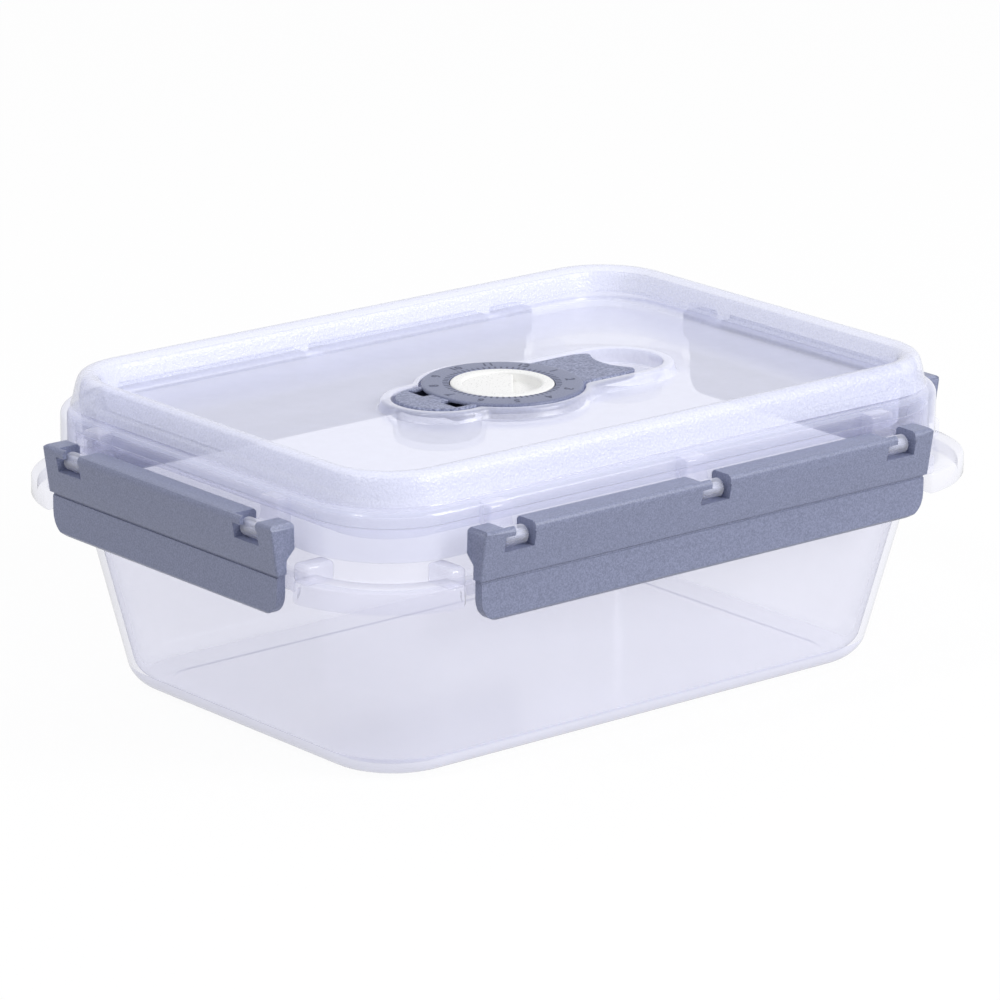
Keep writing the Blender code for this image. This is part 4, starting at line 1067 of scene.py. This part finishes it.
# The floor lies just under the foot. To the eye it is mostly a plain white, and the rest of it keeps
# the object's shadow; to the light that it throws back it is a mid grey
FLOOR_HALF = 1.6
FLOOR_Z = -0.4 * MM
PLAIN_SHARE = 0.94
PAPER = (0.97, 0.97, 0.97, 1)
BOUNCE = (0.6, 0.6, 0.6, 1)
WHITE_LIGHT = (1, 1, 1, 1)
SOFT_LIGHT = "#f4f4f8"
SOFT_STRENGTH = 0.6

# Softboxes: name, place, size and power
LAMPS = [("key", (0.6, -1.25, 0.85), 0.7, 16.0),
         ("top", (0.1, 0.5, 1.5), 0.9, 2.0),
         ("left", (-1.08, -0.19, 1.3), 0.2, 5.3)]
LAMP_TARGET = Vector((0, 0, 50.0 * MM))

# The camera: its direction in degrees, its distance from its target, and its lens in pixels
AZIMUTH = -40.27
ELEVATION = 16.58
ROLL = 0.49
DISTANCE = 1524.0 * MM
CAMERA_TARGET = Vector((0, 0, 45.0 * MM))
LENS_PIXELS = 5635.9
PICTURE_PIXELS = 1000
SENSOR = 36.0
SHIFT = (-0.00117, 0.00657)
CLIP = (0.05, 50.0)
TRANSPARENT_BOUNCES = 32


def seen(tree):
    """1 for a ray from the camera, off a gloss or through plastic, and 0 for scattered light."""
    rays = node(tree, "LightPath").outputs
    share = math_node(tree, 'MAXIMUM', [(0, rays["Is Camera Ray"]), (1, rays["Is Glossy Ray"])])
    return math_node(tree, 'MAXIMUM', [(0, share), (1, rays["Is Transmission Ray"])])


def make_floor():
    """A pale floor that keeps a soft shadow but looks white to the eye, to gloss and through plastic."""
    corners = [(x * FLOOR_HALF, y * FLOOR_HALF, FLOOR_Z) for x, y in ((-1, -1), (1, -1), (1, 1), (-1, 1))]
    data = bpy.data.meshes.new("floor")
    data.from_pydata(corners, [], [(0, 1, 2, 3)])
    floor = placed("floor", data)
    material, tree, surface = blank("studio_paper")
    paper = node(tree, "BsdfDiffuse", values=[("Color", PAPER)])
    bounce = node(tree, "BsdfDiffuse", values=[("Color", BOUNCE)])
    glow = node(tree, "Emission", values=[("Color", WHITE_LIGHT), ("Strength", 1.0)])
    pale = node(tree, "MixShader", [(1, paper.outputs["BSDF"]), (2, glow.outputs["Emission"])],
                [("Fac", PLAIN_SHARE)])
    tree.links.new(mixed(tree, seen(tree), bounce.outputs["BSDF"], pale.outputs["Shader"]), surface)
    data.materials.append(material)


def make_world():
    """White where it is seen, and a softer light where it only lights the object."""
    world = bpy.data.worlds.new("studio")
    bpy.context.scene.world = world
    world.use_nodes = True
    tree = world.node_tree
    tree.nodes.clear()
    soft = node(tree, "Background", values=[("Color", linear(SOFT_LIGHT)), ("Strength", SOFT_STRENGTH)])
    white = node(tree, "Background", values=[("Color", WHITE_LIGHT), ("Strength", 1.0)])
    light = mixed(tree, seen(tree), soft.outputs["Background"], white.outputs["Background"])
    node(tree, "OutputWorld", [("Surface", light)])


def make_lamp(name, place, size, power):
    """A square softbox that looks at the box's middle."""
    light = bpy.data.lights.new(name, 'AREA')
    light.shape = 'SQUARE'
    light.size = size
    light.energy = power
    item = placed(name, light)
    item.location = place
    item.rotation_euler = (LAMP_TARGET - Vector(place)).to_track_quat('-Z', 'Y').to_euler()


def make_camera():
    """The photograph's view: azimuth, elevation, roll, distance and lens solved from its edges."""
    azimuth, elevation, roll = (math.radians(angle) for angle in (AZIMUTH, ELEVATION, ROLL))
    back = Vector((math.sin(azimuth) * math.cos(elevation), -math.cos(azimuth) * math.cos(elevation),
                   math.sin(elevation)))
    right = Vector((math.cos(azimuth), math.sin(azimuth), 0))
    up = back.cross(right)
    turned_right = math.cos(roll) * right + math.sin(roll) * up
    turned_up = math.cos(roll) * up - math.sin(roll) * right
    data = bpy.data.cameras.new("camera")
    data.sensor_width = SENSOR
    data.lens = LENS_PIXELS / PICTURE_PIXELS * SENSOR
    data.shift_x, data.shift_y = SHIFT
    data.clip_start, data.clip_end = CLIP
    item = placed("camera", data)
    place = Matrix((turned_right, turned_up, back)).transposed().to_4x4()
    place.translation = CAMERA_TARGET + back * DISTANCE
    item.matrix_world = place
    bpy.context.scene.camera = item


make_camera()
make_floor()
make_world()
for lamp in LAMPS:
    make_lamp(*lamp)
make_tub()
make_gasket()
make_lid()
make_brackets()
for latch, side in SIDES.items():
    make_latch(latch, *side)
make_lever()
make_scale()
make_dial()
make_vent_plug()

scene = bpy.context.scene
scene.view_settings.view_transform = 'Standard'
scene.cycles.transparent_max_bounces = TRANSPARENT_BOUNCES
